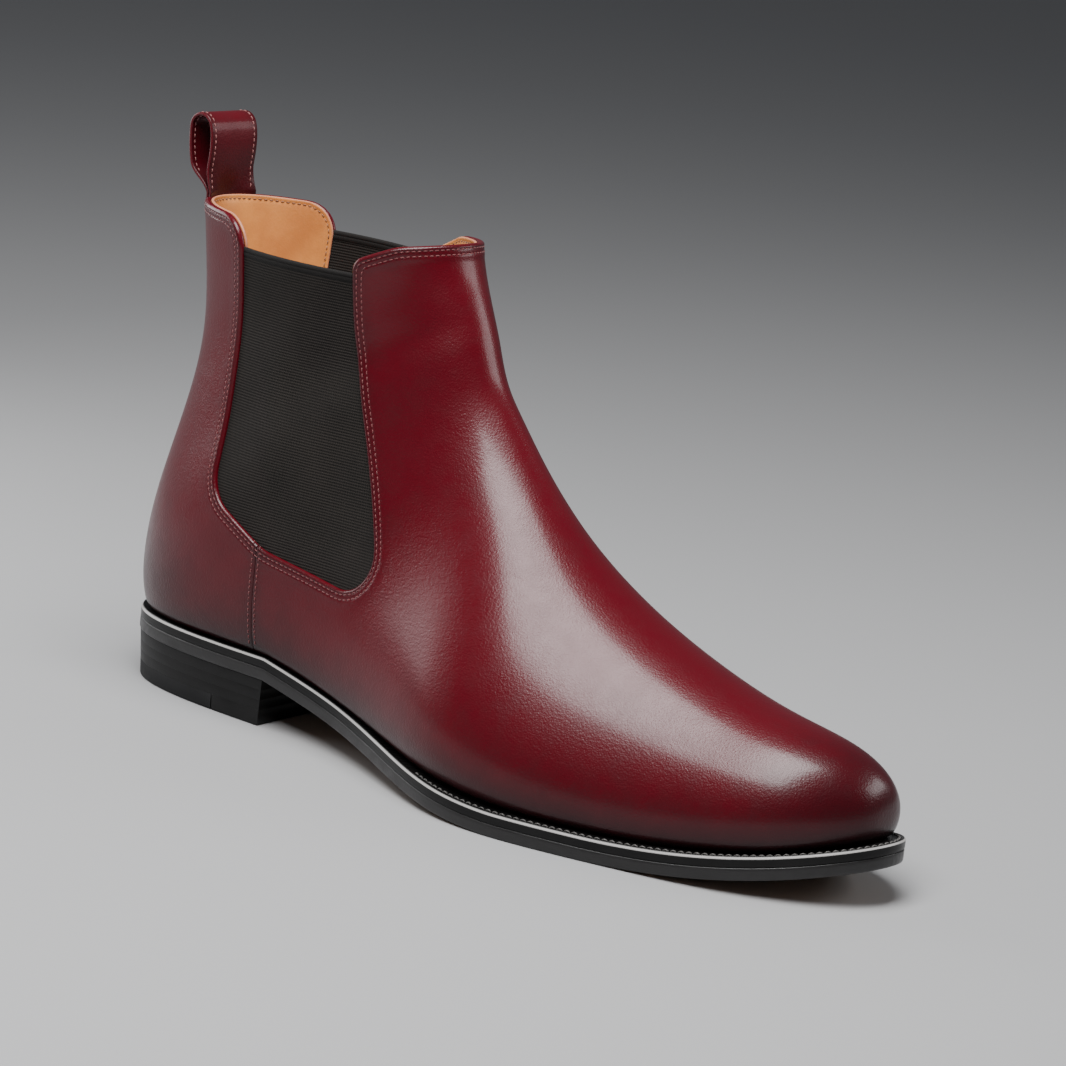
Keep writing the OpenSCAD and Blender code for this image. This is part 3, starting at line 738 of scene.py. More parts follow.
def on_side(x, z, side):
    """Surface coordinates of points seen from the side, on the outer side (-1) or inner (1)."""
    x, z = np.asarray(x, float).ravel(), np.asarray(z, float).ravel()
    near = (side_v < 3.9) & (side_v > 0.1) if side > 0 else (side_v > 4.1) & (side_v < 7.9)
    known, su, sv = side_p[near], side_u[near], side_v[near]
    at = np.concatenate([
        np.argmin((known[:, 0] - a[:, None]) ** 2 + (known[:, 2] - b[:, None]) ** 2, 1)
        for a, b in zip(np.array_split(x, 40), np.array_split(z, 40))])
    u, v = su[at], sv[at]
    for _ in range(6):
        p = sock(u, v)[0]
        du, dv = (sock(u + 1e-4, v)[0] - p) * 1e4, (sock(u, v + 1e-4)[0] - p) * 1e4
        ex, ez = x - p[:, 0], z - p[:, 2]
        det = du[:, 0] * dv[:, 2] - dv[:, 0] * du[:, 2]
        step = np.clip((ex * dv[:, 2] - ez * dv[:, 0]) / det, -0.2, 0.2)
        u = np.clip(u + step, 0.01, SPANS)
        v = v + np.clip((du[:, 0] * ez - du[:, 2] * ex) / det, -0.2, 0.2)
    return u, v


def side_net(xs, zs, side, outline):
    """A net of points on one side of the boot, with the distance inside an outline as its rim."""
    x, z = np.meshgrid(xs, zs)
    u, v = on_side(x, z, side)
    rim = inside_by(outline, np.stack([x.ravel(), z.ravel()], 1))
    table = np.stack([u, v, rim, x.ravel(), z.ravel(), np.zeros(len(u))], 1)
    n = len(xs)
    a = (np.arange(len(zs) - 1)[:, None] * n + np.arange(n - 1)).ravel()
    faces = np.concatenate([np.stack([a, a + 1, a + n + 1], 1), np.stack([a, a + n + 1, a + n], 1)])
    return table, faces if side < 0 else faces[:, ::-1]


def wavy(x, z):
    """The slight slackness of elastic at rest."""
    return 0.22 * np.sin(x / 9.0 + z / 31) * np.sin(z / 17.0 + 1.3) + 0.1 * np.sin(x / 4.1 - z / 23)


for side, word, shift, top in ((-1, "lateral", 0, GORE_TOP),
                               (1, "medial", INNER_SHIFT, GORE_TOP + INNER_RISE)):
    opening_line = rounded(GORE_OPENING) + (shift, 0)
    net = trim(side_net(np.arange(42, 130, 2.2) + shift, np.arange(54, top - BAND_H + 0.01, RIB / 4),
                        side, opening_line), RIM, -PANEL_LAP)
    table = net[0]
    calm = np.clip((table[:, RIM] - 0.5) / 12, 0, 1) * np.clip((top - table[:, 4]) / 18, 0, 1)
    rib = 0.18 * (1 - np.cos(2 * np.pi * table[:, 4] / RIB)) / 2
    outer = MIDDLE_IN - 0.1 + rib + wavy(table[:, 3], table[:, 4]) * calm
    inner = MIDDLE_OUT - rib + wavy(table[:, 3], table[:, 4]) * calm
    piece, _ = two_sided(word + "_elastic", net, outer, inner, [(RIM, -PANEL_LAP)], [ribbed_elastic])
    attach(piece, "boot")
    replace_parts(piece, word + "_gore")
    net = trim(side_net(np.arange(42, 97, 1.5) + shift, top - BAND_H + np.array(
        [-0.6, -0.3, -0.1, 0, 0.15, 0.35, 0.6, 1.0, 1.4, 1.6, 1.75, 1.9, 2.2, 2.5, 2.75, 2.95, 3.1,
         3.17, BAND_H]), side, opening_line), RIM, -BAND_LAP)
    z = net[0][:, 4] - (top - BAND_H)
    swell = 0.34 * np.sqrt(np.clip(1 - ((z - 1.55) / 1.66) ** 2, 0, 1)) - 0.2 * furrow(z, 1.6, 0.35)
    tight = round_over(BAND_H - z, 0.8) * 0.475
    piece, _ = two_sided(word + "_elastic_band", net, MIDDLE_IN - swell + tight,
                         MIDDLE_OUT + swell - tight, [(4, top)], [elastic_band])
    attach(piece, "boot")
    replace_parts(piece, word + "_gore_binding")

# --- Sewing ------------------------------------------------------------------------------
# Twelve stitches to the inch in bonded thread a shade lighter than the leather. Each stitch is
# a short twist of thread that dips into the leather at both ends; a geometry tree sets one at
# every step along a row, lying on the surface.
def thread_material(name, light, shade):
    """Twisted thread, uneven in colour along its length."""
    m, nodes, links, shader, where = new_material(name)
    ply = texture(nodes, links, where, "ShaderNodeTexNoise", 3500, (1, 1, 1), Detail=2)
    links.new(mixed(nodes, links, spread(nodes, links, ply.outputs["Fac"], 0.35, 0.65), shade, light),
              shader.inputs["Base Color"])
    shader.inputs["Roughness"].default_value = 0.5
    shader.inputs["Sheen Weight"].default_value = 0.2
    bumped(nodes, links, shader, (ply.outputs["Fac"], 0.0001, 0.5))
    return m


def stitch_shape(length, width, rise):
    """One stitch: a bent, tapering thread, in metres, lying along X with Z away from the leather."""
    bm = bmesh.new()
    rings = []
    for k, t in enumerate((-1, -0.86, -0.45, 0, 0.45, 0.86, 1)):
        r = width / 2 * (0.5, 0.85, 1, 1.04, 1, 0.85, 0.5)[k]
        z = rise * (1 - 1.9 * t * t)
        rings.append([bm.verts.new((t * length / 2, r * math.cos(a), z + 0.8 * r * math.sin(a)))
                      for a in [2 * math.pi * s / 6 for s in range(6)]])
    for a, b in zip(rings, rings[1:]):
        for s in range(6):
            bm.faces.new((a[s], b[s], b[(s + 1) % 6], a[(s + 1) % 6]))
    bm.faces.new(rings[0])
    bm.faces.new(rings[-1][::-1])
    bmesh.ops.recalc_face_normals(bm, faces=bm.faces)
    mesh = bpy.data.meshes.new("stitch_shape")
    bm.to_mesh(mesh)
    bm.free()
    mesh.polygons.foreach_set("use_smooth", [True] * len(mesh.polygons))
    shape = bpy.data.objects.new("stitch_shape", mesh)
    bpy.context.scene.collection.objects.link(shape)
    return shape


def row_tree():
    """A geometry tree: sets a shape at each step along rows of edges, standing on their normals."""
    tree = bpy.data.node_groups.new("set_along_rows", "GeometryNodeTree")
    inputs = {}
    for name, kind in (("Rows", "NodeSocketGeometry"), ("Shape", "NodeSocketObject"),
                       ("Pitch", "NodeSocketFloat"), ("Finish", "NodeSocketMaterial")):
        inputs[name] = tree.interface.new_socket(name, in_out="INPUT", socket_type=kind).identifier
    tree.interface.new_socket("Geometry", in_out="OUTPUT", socket_type="NodeSocketGeometry")
    n, links = tree.nodes, tree.links
    source, sink = n.new("NodeGroupInput"), n.new("NodeGroupOutput")
    curve, step = n.new("GeometryNodeMeshToCurve"), n.new("GeometryNodeResampleCurve")
    links.new(source.outputs["Rows"], curve.inputs["Mesh"])
    links.new(curve.outputs["Curve"], step.inputs["Curve"])
    if "Mode" in step.inputs:
        step.inputs["Mode"].default_value = "Length"
    else:
        step.mode = "LENGTH"
    links.new(source.outputs["Pitch"], step.inputs["Length"])
    normal = n.new("GeometryNodeInputNamedAttribute")
    normal.data_type = "FLOAT_VECTOR"
    normal.inputs["Name"].default_value = "away"
    tangent, aim = n.new("GeometryNodeInputTangent"), n.new("FunctionNodeAxesToRotation")
    aim.primary_axis, aim.secondary_axis = "Z", "X"
    links.new(normal.outputs["Attribute"], aim.inputs["Primary Axis"])
    links.new(tangent.outputs["Tangent"], aim.inputs["Secondary Axis"])
    shape, place = n.new("GeometryNodeObjectInfo"), n.new("GeometryNodeInstanceOnPoints")
    links.new(source.outputs["Shape"], shape.inputs["Object"])
    links.new(step.outputs["Curve"], place.inputs["Points"])
    links.new(shape.outputs["Geometry"], place.inputs["Instance"])
    links.new(aim.outputs["Rotation"], place.inputs["Rotation"])
    real, finish = n.new("GeometryNodeRealizeInstances"), n.new("GeometryNodeSetMaterial")
    links.new(place.outputs["Instances"], real.inputs["Geometry"])
    links.new(real.outputs["Geometry"], finish.inputs["Geometry"])
    links.new(source.outputs["Finish"], finish.inputs["Material"])
    links.new(finish.outputs["Geometry"], sink.inputs["Geometry"])
    return tree, inputs


rows_tree, rows_inputs = row_tree()


def set_along(name, rows, shape, pitch, material):
    """Rows are lists of (points in millimetres, directions away from the surface)."""
    points, away, edges, n = [], [], [], 0
    for p, d in rows:
        points.append(placed(p))
        away.append(d)
        edges += [(n + k, n + k + 1) for k in range(len(p) - 1)]
        n += len(p)
    mesh = bpy.data.meshes.new(name)
    mesh.from_pydata(np.concatenate(points).tolist(), edges, [])
    mesh.attributes.new("away", "FLOAT_VECTOR", "POINT").data.foreach_set(
        "vector", np.concatenate(away).astype(np.float32).ravel())
    rail = bpy.data.objects.new(name, mesh)
    bpy.context.scene.collection.objects.link(rail)
    modifier = rail.modifiers.new("rows", "NODES")
    modifier.node_group = rows_tree
    modifier[rows_inputs["Shape"]] = shape
    modifier[rows_inputs["Pitch"]] = pitch
    modifier[rows_inputs["Finish"]] = material
    done = bpy.data.meshes.new_from_object(rail.evaluated_get(bpy.context.evaluated_depsgraph_get()))
    rail.modifiers.clear()
    rail.data = done
    done.name = name
    return rail


def sewn_rows(net, column, level, depth, facing=1, low=-1.0):
    """Rows to sew along one level of a sheet, smoothed and taken on to the surface."""
    rows = []
    for chain in rows_of(net, column, level, low):
        uv = chain[:, :2].copy()
        uv[:, 1] = np.unwrap(uv[:, 1], period=8)
        for _ in range(3):
            uv[1:-1] = (uv[:-2] + 2 * uv[1:-1] + uv[2:]) / 4
        p, n = sock(uv[:, 0], np.mod(uv[:, 1], 8))
        length = np.linalg.norm(np.diff(p, axis=0), axis=1).sum()
        if length > 4:
            rows.append((p - n * depth, n * facing))
    return rows


upper_thread = thread_material("burgundy_thread", (0.21, 0.042, 0.042), (0.09, 0.010, 0.013))
lining_thread = thread_material("tan_thread", (0.36, 0.15, 0.06), (0.16, 0.06, 0.025))
small_stitch, small_pitch = stitch_shape(0.00150, 0.00046, 0.00012), 0.00205
upper_rows = []
for net in (front_net, rear_net):
    for row in (ROW_A, ROW_B):
        upper_rows += sewn_rows(net, RIM, row, -0.03)
    upper_rows += sewn_rows(net, SEAM, 1.5, 0.0, low=3.5)
stitches = set_along("upper_stitching", upper_rows, small_stitch, small_pitch, upper_thread)
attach(stitches, "boot")
lining_rows = []
for net in (lining_front_net, lining_rear_net):
    lining_rows += sewn_rows(net, RIM, ROW_A, LINING_OUT - 0.05, -1)
stitches = set_along("lining_stitching", lining_rows, small_stitch, small_pitch, lining_thread)
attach(stitches, "boot")

# --- Pull tab ----------------------------------------------------------------------------
# One strap of the same calf, edges painted and sewn, is folded over and its two ends are sewn
# in between leather and lining at the back. It bends at its root, between boot and loop.
TAB_W, TAB_PLY, TAB_H, LOOP_R = 24.0, 1.3, 28.0, 5.6
HINGE_X, HINGE_Z = 5.6, BACK_TOP + TAB_PLY + 0.35


def strap_line():
    """The strap's middle line seen from the side, from its front root over the top and down."""
    half, top = TAB_PLY / 2, TAB_H - LOOP_R
    r, cx = LOOP_R - half, TAB_PLY - LOOP_R + 0.7
    line = [(half, -5), (half, -2), (half, 0.5), (half + 0.4, 4), (half + 1.1, 9), (half + 1.6, 14),
            (half + 1.6, 18.5), (half + 1.1, top - 0.5)]
    line += [(cx + r * math.cos(a), top + r * math.sin(a)) for a in np.radians(range(12, 181, 14))]
    line += [(cx - r + 0.35, top - 6), (cx - r + 1.3, top - 11), (cx - r + 2.6, top - 15.5),
             (-half - 0.55, 3.2), (-half, 0.6), (-half, -2), (-half, -5)]
    control = np.array(line)
    t = np.linspace(0, len(control) - 1.001, 190)
    k = np.floor(t).astype(int)
    padded_line = np.concatenate([control[:1], control, control[-1:]])
    p = padded_line[k[:, None] + np.arange(4)]
    t = t - k
    return np.einsum("na,nac->nc", basis(t), p), np.einsum("na,nac->nc", slope(t), p)


line, along = strap_line()
along /= np.linalg.norm(along, axis=1, keepdims=True)
away = np.stack([along[:, 1], -along[:, 0]], 1)
flat, bend = TAB_W / 2 - 0.5, TAB_PLY / 2
corner = [(flat + 0.5 * math.cos(a), bend * math.sin(a)) for a in np.radians(range(-90, 91, 22))]
across_face = np.linspace(flat, -flat, 15)[1:-1]
ring = (corner + [(w, bend) for w in across_face] + [(-w, -t) for w, t in corner]
        + [(-w, -bend) for w in across_face])
SEWN_IN = 1.9
ring = [(w, t - 0.13 * furrow(abs(w), TAB_W / 2 - SEWN_IN, 0.6) * np.sign(t) * (abs(t) == bend))
        for w, t in ring]
back_v = np.linspace(3.0, 5.0, 81)
back_curve = sock(np.full(81, 15.6), back_v)[0]
back_curve = back_curve[np.argsort(back_curve[:, 1])]


def root_bend(w, height):
    """How far the strap curves forward round the back of the leg, near its root."""
    curve = np.interp((w, 0), back_curve[:, 1], back_curve[:, 0])
    return (curve[0] - curve[1]) * np.clip((9 - height) / 9, 0, 1) ** 1.5


points = np.concatenate([np.stack([HINGE_X + line[:, 0] + away[:, 0] * t + root_bend(w, line[:, 1]),
                                   np.full(len(line), w), HINGE_Z + line[:, 1] + away[:, 1] * t], 1)
                         for w, t in ring])
n, rounds = len(line), len(ring)
faces = [(s * n + k, ((s + 1) % rounds) * n + k, ((s + 1) % rounds) * n + k + 1, s * n + k + 1)
         for s in range(rounds) for k in range(n - 1)]
faces += [tuple(s * n for s in range(rounds))[::-1], tuple(s * n + n - 1 for s in range(rounds))]
strap = mesh_piece("pull_strap", points, faces, [strap_leather])
width_at = np.repeat([abs(w) for w, t in ring], n)
height_at = np.tile(line[:, 1], rounds)
# Darker towards the strap's edges and its root, lighter on its rounded side edges.
point_values(strap, "darkening", np.clip(
    0.18 + 0.35 * np.exp(-(TAB_W / 2 - width_at) / 2.0) - 0.5 * (width_at > flat + 0.3)
    + 0.35 * np.exp(-np.maximum(height_at, 0) / 5), 0, 1))
point_values(strap, "crush", 0.9 * np.exp(-((height_at - 4) / 5) ** 2))
rows = []
for w in (TAB_W / 2 - SEWN_IN, SEWN_IN - TAB_W / 2):
    for face in (1, -1):
        use = (line[:, 1] > 1.5) if face > 0 else (line[:, 1] > 6)
        d = away[use] * face
        p = line[use] + d * (TAB_PLY / 2 - 0.1)
        rows.append((np.stack([HINGE_X + p[:, 0] + root_bend(w, p[:, 1]), np.full(len(p), w),
                               HINGE_Z + p[:, 1]], 1),
                     np.stack([d[:, 0], np.zeros(len(d)), d[:, 1]], 1)))
strap_thread = thread_material("strap_thread", (0.36, 0.14, 0.13), (0.17, 0.05, 0.05))
strap_stitches = set_along("strap_stitching", rows, small_stitch, small_pitch, strap_thread)
for piece, slot in ((strap, "burgundy_leather"), (strap_stitches, "thread")):
    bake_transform(piece)
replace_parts(strap, "pull_tab", "pull_tab_tail")

# --- Insole and sock ---------------------------------------------------------------------
# The insole is a firm leather board on which the boot is lasted; a thin tan sock is cemented
# over its heel end, and a canvas rib under it takes the welt seam.
def vegetable_leather(name, light, shade):
    """Undyed leather with open pores."""
    m, nodes, links, shader, where = new_material(name)
    cloud = texture(nodes, links, where, "ShaderNodeTexNoise", 38, Detail=5, Roughness=0.6)
    pore = texture(nodes, links, where, "ShaderNodeTexVoronoi", 1300, feature="SMOOTH_F1")
    links.new(mixed(nodes, links, spread(nodes, links, cloud.outputs["Fac"], 0.3, 0.7), light, shade),
              shader.inputs["Base Color"])
    links.new(spread(nodes, links, cloud.outputs["Fac"], 0.3, 0.7, 0.5, 0.66),
              shader.inputs["Roughness"])
    bumped(nodes, links, shader, (pore.outputs["Distance"], 0.00012, 0.45))
    return m


insole_leather = vegetable_leather("insole_leather", (0.52, 0.30, 0.14), (0.40, 0.21, 0.09))
sock_leather = vegetable_leather("sock_leather", (0.60, 0.27, 0.10), (0.46, 0.19, 0.065))


def from_cad(name, node, material):
    """A new piece in the shape of a CAD node, its loose facets joined."""
    bm = bmesh.new()
    bm.from_mesh(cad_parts[node].data)
    bmesh.ops.remove_doubles(bm, verts=bm.verts, dist=2e-6)
    bmesh.ops.dissolve_degenerate(bm, edges=bm.edges, dist=1e-6)
    mesh = bpy.data.meshes.new(name)
    bm.to_mesh(mesh)
    bm.free()
    mesh.materials.clear()
    mesh.materials.append(material)
    mesh.polygons.foreach_set("use_smooth", [True] * len(mesh.polygons))
    mesh.set_sharp_from_angle(angle=math.radians(35))
    piece = bpy.data.objects.new(name, mesh)
    bpy.context.scene.collection.objects.link(piece)
    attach(piece, "boot")
    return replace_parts(piece, node)


from_cad("insole_board", "insole", insole_leather)
from_cad("heel_sock_pad", "heel_sock", sock_leather)

# --- Welt, rand and rib ------------------------------------------------------------------
# A strip of oak-bark leather runs round from breast to breast, sewn to the upper and the rib,
# with a rand closing the ring at the heel. Its edge is trimmed with the sole's, inked black and
# hot-waxed to a thin bead, with a painted highlight along its top; its face is wheeled between
# the stitches.
def black_leather(name, rough, ink=(0.0040, 0.0038, 0.0038), wheel_and_highlight=False):
    """Inked and waxed edges; the welt's is wheeled on its face and has a painted highlight along its
    bead.
    """
    m, nodes, links, shader, where = new_material(name)
    cloud = texture(nodes, links, where, "ShaderNodeTexNoise", 90, Detail=5, Roughness=0.6)
    fibre = texture(nodes, links, where, "ShaderNodeTexNoise", 900, (0.25, 0.25, 2.5), Detail=3)
    pits = texture(nodes, links, where, "ShaderNodeTexNoise", 1700, Detail=2)
    inked = mixed(nodes, links, spread(nodes, links, cloud.outputs["Fac"], 0.3, 0.7), ink,
                  tuple(c * 1.9 for c in ink))
    # Painted highlight: the top of the welt's bead is mixed towards pale grey.
    if wheel_and_highlight:
        inked = mixed(nodes, links, attribute(nodes, "bead_highlight"), inked, (0.42, 0.405, 0.395))
    links.new(inked, shader.inputs["Base Color"])
    links.new(spread(nodes, links, cloud.outputs["Fac"], 0.25, 0.75, rough * 0.85, rough * 1.2),
              shader.inputs["Roughness"])
    shader.inputs["Specular IOR Level"].default_value = 0.22
    layers = [(fibre.outputs["Fac"], 0.00015, 0.3), (pits.outputs["Fac"], 0.0001, 0.35)]
    if wheel_and_highlight:
        run = attribute(nodes, "run")
        teeth = arithmetic(nodes, links, "SINE", arithmetic(
            nodes, links, "MULTIPLY", run, 2 * math.pi / 1.25), 0)
        face = attribute(nodes, "wheeled")
        layers.append((arithmetic(nodes, links, "MULTIPLY", teeth, face), 0.00022, 0.8))
    bumped(nodes, links, shader, *layers)
    return m


welt_black = black_leather("welt_leather", 0.33, wheel_and_highlight=True)

# Places along the sole from back to front, closer together at both ends, shared by both sides.
STATIONS = 220
dense, dense_out = sole_curve(0.01)
tail_at, toe_at = int(np.argmin(dense[:, 0])), int(np.argmax(dense[:, 0]))
turned = (np.arange(len(dense)) + tail_at) % len(dense)
dense, dense_out = dense[turned], dense_out[turned]
toe_at = (toe_at - tail_at) % len(dense)
x_at = (dense[0, 0] + dense[toe_at, 0]) / 2 - (dense[toe_at, 0] - dense[0, 0]) / 2 * np.cos(
    np.pi * np.arange(STATIONS + 1) / STATIONS)


def at_stations(part):
    """Points and outward directions of half the sole's edge, at the shared stations."""
    p, d = dense[part], dense_out[part]
    order = np.argsort(p[:, 0])
    p, d = p[order], d[order]
    got = [np.interp(x_at, p[:, 0], c) for c in (p[:, 1], d[:, 0], d[:, 1])]
    return np.stack([x_at, got[0]], 1), np.stack(got[1:], 1)


outer_edge, outer_way = at_stations(np.arange(toe_at + 1))
inner_edge, inner_way = at_stations(np.r_[np.arange(toe_at, len(dense)), 0])
ring_edge = np.concatenate([outer_edge, inner_edge[-2:0:-1]])
ring_way = np.concatenate([outer_way, inner_way[-2:0:-1]])
ring_way /= np.linalg.norm(ring_way, axis=1, keepdims=True)
RING = len(ring_edge)
ring_run = np.r_[0, np.cumsum(np.linalg.norm(np.diff(ring_edge, axis=0), axis=1))]


def ring_at(out, height):
    """The sole's edge moved outward, at a height above the sole's lower face."""
    p = ring_edge + ring_way * out
    return np.column_stack([p, ground_gap(p[:, 0]) + height])


def edge_strip(name, profile, ahead, material, slot, *nodes):
    """A closed profile of (out, height) run along the part of the edge ahead of the breast or not."""
    front = np.flatnonzero(ring_edge[:, 0] >= HEEL_FRONT)
    rest = np.r_[np.arange(front[-1], RING), np.arange(0, front[0] + 1)]
    use = front if ahead else rest
    p = np.concatenate([ring_at(o, h)[use] for o, h in profile])
    n, rounds = len(use), len(profile)
    faces = [(s * n + k, s * n + k + 1, ((s + 1) % rounds) * n + k + 1, ((s + 1) % rounds) * n + k)
             for s in range(rounds) for k in range(n - 1)]
    faces += [tuple(s * n for s in range(rounds)), tuple(s * n + n - 1 for s in range(rounds))[::-1]]
    piece = mesh_piece(name, p, faces, [material])
    bm = bmesh.new()
    bm.from_mesh(piece.data)
    bmesh.ops.recalc_face_normals(bm, faces=bm.faces)
    bm.to_mesh(piece.data)
    bm.free()
    piece.data.set_sharp_from_angle(angle=math.radians(50))
    point_values(piece, "run", np.tile(ring_run[use], rounds))
    # The bead's top rows, painted pale grey in the welt's material as a highlight.
    point_values(piece, "bead_highlight", np.repeat([1.0 if h > FEATHER - 0.95 and -0.45 < o < 0.02 else 0.0
                                           for o, h in profile], n))
    point_values(piece, "wheeled", np.repeat([1.0 if h > FEATHER - 0.35 and -4.6 < o < -0.9 else 0.0
                                              for o, h in profile], n))
    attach(piece, "boot")
    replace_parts(piece, *nodes)
    return piece


# The welt's section, round from the inside: underside, edge, bead, then its face.
low, high = OUTSOLE_T + 0.05, FEATHER
welt_profile = [(-WELT_W, low), (-0.35, low), (-0.1, low + 0.12), (0.0, low + 0.4), (0.02, low + 1.4),
                (0.03, high - 1.3), (0.05, high - 1.15), (0.0, high - 0.9), (-0.3, high - 0.5),
                (-0.6, high - 0.18), (-0.75, high - 0.07), (-0.95, high - 0.05), (-1.15, high - 0.2),
                (-1.4, high - 0.24), (-2.1, high - 0.3), (-3.0, high - 0.22), (-4.2, high - 0.16),
                (-5.4, high - 0.1), (-WELT_W, high - 0.05)]
edge_strip("welt_strip", welt_profile, True, welt_black, "black_leather", "welt")
edge_strip("heel_rand_strip", welt_profile, False, welt_black, "black_leather", "heel_rand")
canvas = fibre_material("ribbing_canvas", (0.62, 0.55, 0.40), (0.45, 0.38, 0.25), 1800)
edge_strip("canvas_rib", [(-11.15, 6.1), (-11.15, 8.4), (-12.85, 8.4), (-12.85, 6.1)], True, canvas,
           "canvas", "insole_rib")

STITCH_START, STITCH_IN = 165, 2.1
seen = np.flatnonzero(ring_edge[:, 0] > STITCH_START)
inset = ring_edge + ring_way * -STITCH_IN
row = np.column_stack([inset, ground_gap(inset[:, 0]) + high - 0.2])[seen]
lift = np.gradient(ground_gap(inset[:, 0])) / np.where(np.abs(np.gradient(inset[:, 0])) < 1e-6, 1e-6,
                                                        np.gradient(inset[:, 0]))
tilt = np.column_stack([-np.clip(lift, -1, 1), np.zeros(RING), np.ones(RING)])[seen]
tilt /= np.linalg.norm(tilt, axis=1, keepdims=True)
waxed_thread = thread_material("waxed_linen", (0.10, 0.092, 0.085), (0.03, 0.028, 0.026))
welt_stitch = stitch_shape(0.0022, 0.00075, 0.00022)
stitches = set_along("welt_stitching", [(row, tilt)], welt_stitch, 0.0027, waxed_thread)
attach(stitches, "boot")
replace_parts(stitches, "welt_stitches")
bpy.data.objects.remove(small_stitch)
bpy.data.objects.remove(welt_stitch)

# --- Shank, filler and seat --------------------------------------------------------------
# Inside the ring of the welt a spring-steel shank stiffens the waist, granulated cork fills the
# forepart and a leather seat fills the heel. These keep their CAD shapes.
def give(node, material):
    """A CAD node keeps its shape and gets a finish."""
    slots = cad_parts[node].data.materials
    slots.clear()
    slots.append(material)


def metal_material(name, light, shade, scale, stretch, rough, relief):
    """Bare metal, brushed where the pattern is stretched; rough is its least and greatest."""
    m, nodes, links, shader, where = new_material(name)
    marks = texture(nodes, links, where, "ShaderNodeTexNoise", scale, stretch, Detail=3)
    links.new(mixed(nodes, links, marks.outputs["Fac"], light, shade), shader.inputs["Base Color"])
    shader.inputs["Metallic"].default_value = 1
    links.new(spread(nodes, links, marks.outputs["Fac"], 0.3, 0.7, *rough),
              shader.inputs["Roughness"])
    bumped(nodes, links, shader, (marks.outputs["Fac"], 0.0001, relief))
    return m


give("shank", metal_material("shank_steel", (0.36, 0.37, 0.39), (0.52, 0.53, 0.55), 1200,
                             (0.06, 1, 1), (0.28, 0.45), 0.3))
give("cork_filler", fibre_material("granulated_cork", (0.36, 0.21, 0.10), (0.12, 0.06, 0.03), 420))
give("heel_seat", vegetable_leather("seat_leather", (0.45, 0.26, 0.12), (0.33, 0.18, 0.08)))

# --- Outsole -----------------------------------------------------------------------------
# One thick leather sole from heel seat to toe, its edge square, inked black and waxed, its
# lower face sanded and left brown, stitched in a channel that is closed again.
def sole_face_material():
    """Brown and scuffed below, black on the edge."""
    m, nodes, links, shader, where = new_material("outsole_face_leather")
    cloud = texture(nodes, links, where, "ShaderNodeTexNoise", 26, Detail=6, Roughness=0.62)
    scuff = texture(nodes, links, where, "ShaderNodeTexNoise", 260, (0.25, 2.2, 1), Detail=4)
    pore = texture(nodes, links, where, "ShaderNodeTexVoronoi", 1000, feature="SMOOTH_F1")
    tan = mixed(nodes, links, spread(nodes, links, cloud.outputs["Fac"], 0.3, 0.7),
                (0.30, 0.165, 0.075), (0.22, 0.11, 0.045))
    links.new(mixed(nodes, links, attribute(nodes, "inked"), tan, (0.009, 0.008, 0.008)),
              shader.inputs["Base Color"])
    links.new(spread(nodes, links, scuff.outputs["Fac"], 0.3, 0.7, 0.36, 0.52),
              shader.inputs["Roughness"])
    shader.inputs["Coat Weight"].default_value = 0.15
    shader.inputs["Coat Roughness"].default_value = 0.3
    bumped(nodes, links, shader, (scuff.outputs["Fac"], 0.0002, 0.25),
           (pore.outputs["Distance"], 0.00012, 0.35))
    return m


def capped_layer(name, profile, material, columns=24):
    """A solid layer of the sole: rings from its lower face up to its upper face, both closed."""
    rings = [ring_at(o, h) for o, h in profile]
    points, faces = list(np.concatenate(rings)), []
    for s in range(len(rings) - 1):
        for k in range(RING):
            j = (k + 1) % RING
            faces.append((s * RING + k, s * RING + j, (s + 1) * RING + j, (s + 1) * RING + k))
    inked = [0.0 if h < 0.3 and o < -0.5 else 1.0 for o, h in profile for _ in range(RING)]
    ends = ((rings[0], profile[0][1], False), (rings[-1], profile[-1][1], True))
    for ring, height, up in ends:
        first = len(points)
        for k in range(STATIONS + 1):
            a, b = ring[k], ring[(RING - k) % RING]
            for c in range(columns + 1):
                p = a + (b - a) * c / columns
                points.append([p[0], p[1], float(ground_gap(p[0])) + height])
                inked.append(float(up))
        for k in range(STATIONS):
            for c in range(columns):
                q = first + k * (columns + 1) + c
                faces.append((q, q + columns + 1, q + columns + 2, q + 1))
    piece = mesh_piece(name, np.array(points), faces, [material])
    point_values(piece, "inked", inked)
    bm = bmesh.new()
    bm.from_mesh(piece.data)
    bmesh.ops.remove_doubles(bm, verts=bm.verts, dist=2e-7)
    bmesh.ops.dissolve_degenerate(bm, edges=bm.edges, dist=1e-7)
    bmesh.ops.recalc_face_normals(bm, faces=bm.faces)
    bm.to_mesh(piece.data)
    bm.free()
    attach(piece, "boot")
    return piece


sole = capped_layer("outsole_layer", [
    (-6.3, 0), (-6.0, 0.02), (-5.85, 0.18), (-5.7, 0.02), (-5.4, 0), (-0.75, 0.0), (-0.4, 0.06),
    (-0.15, 0.25), (0.0, 0.6), (0.02, 1.5), (0.02, 3.0), (0.0, OUTSOLE_T - 0.35),
    (-0.12, OUTSOLE_T - 0.1), (-0.4, OUTSOLE_T)], sole_face_material())
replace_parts(sole, "outsole")

# --- Heel --------------------------------------------------------------------------------
# Three leather lifts under the seat, then a top piece of leather with a rubber tip let in
# behind, all nailed, trimmed flush, inked and waxed. The breast is cut slightly hollow.
TIP_T, TAPER, NAIL_PROUD = 6.0, 0.35, 0.26
LIFT_T = (HEEL_H - TIP_T) / 3
# The slanted joint between top piece and rubber tip: where it crosses the middle, and its slant.
TIP_LINE_X, TIP_LINE_SLANT = 44, 0.25


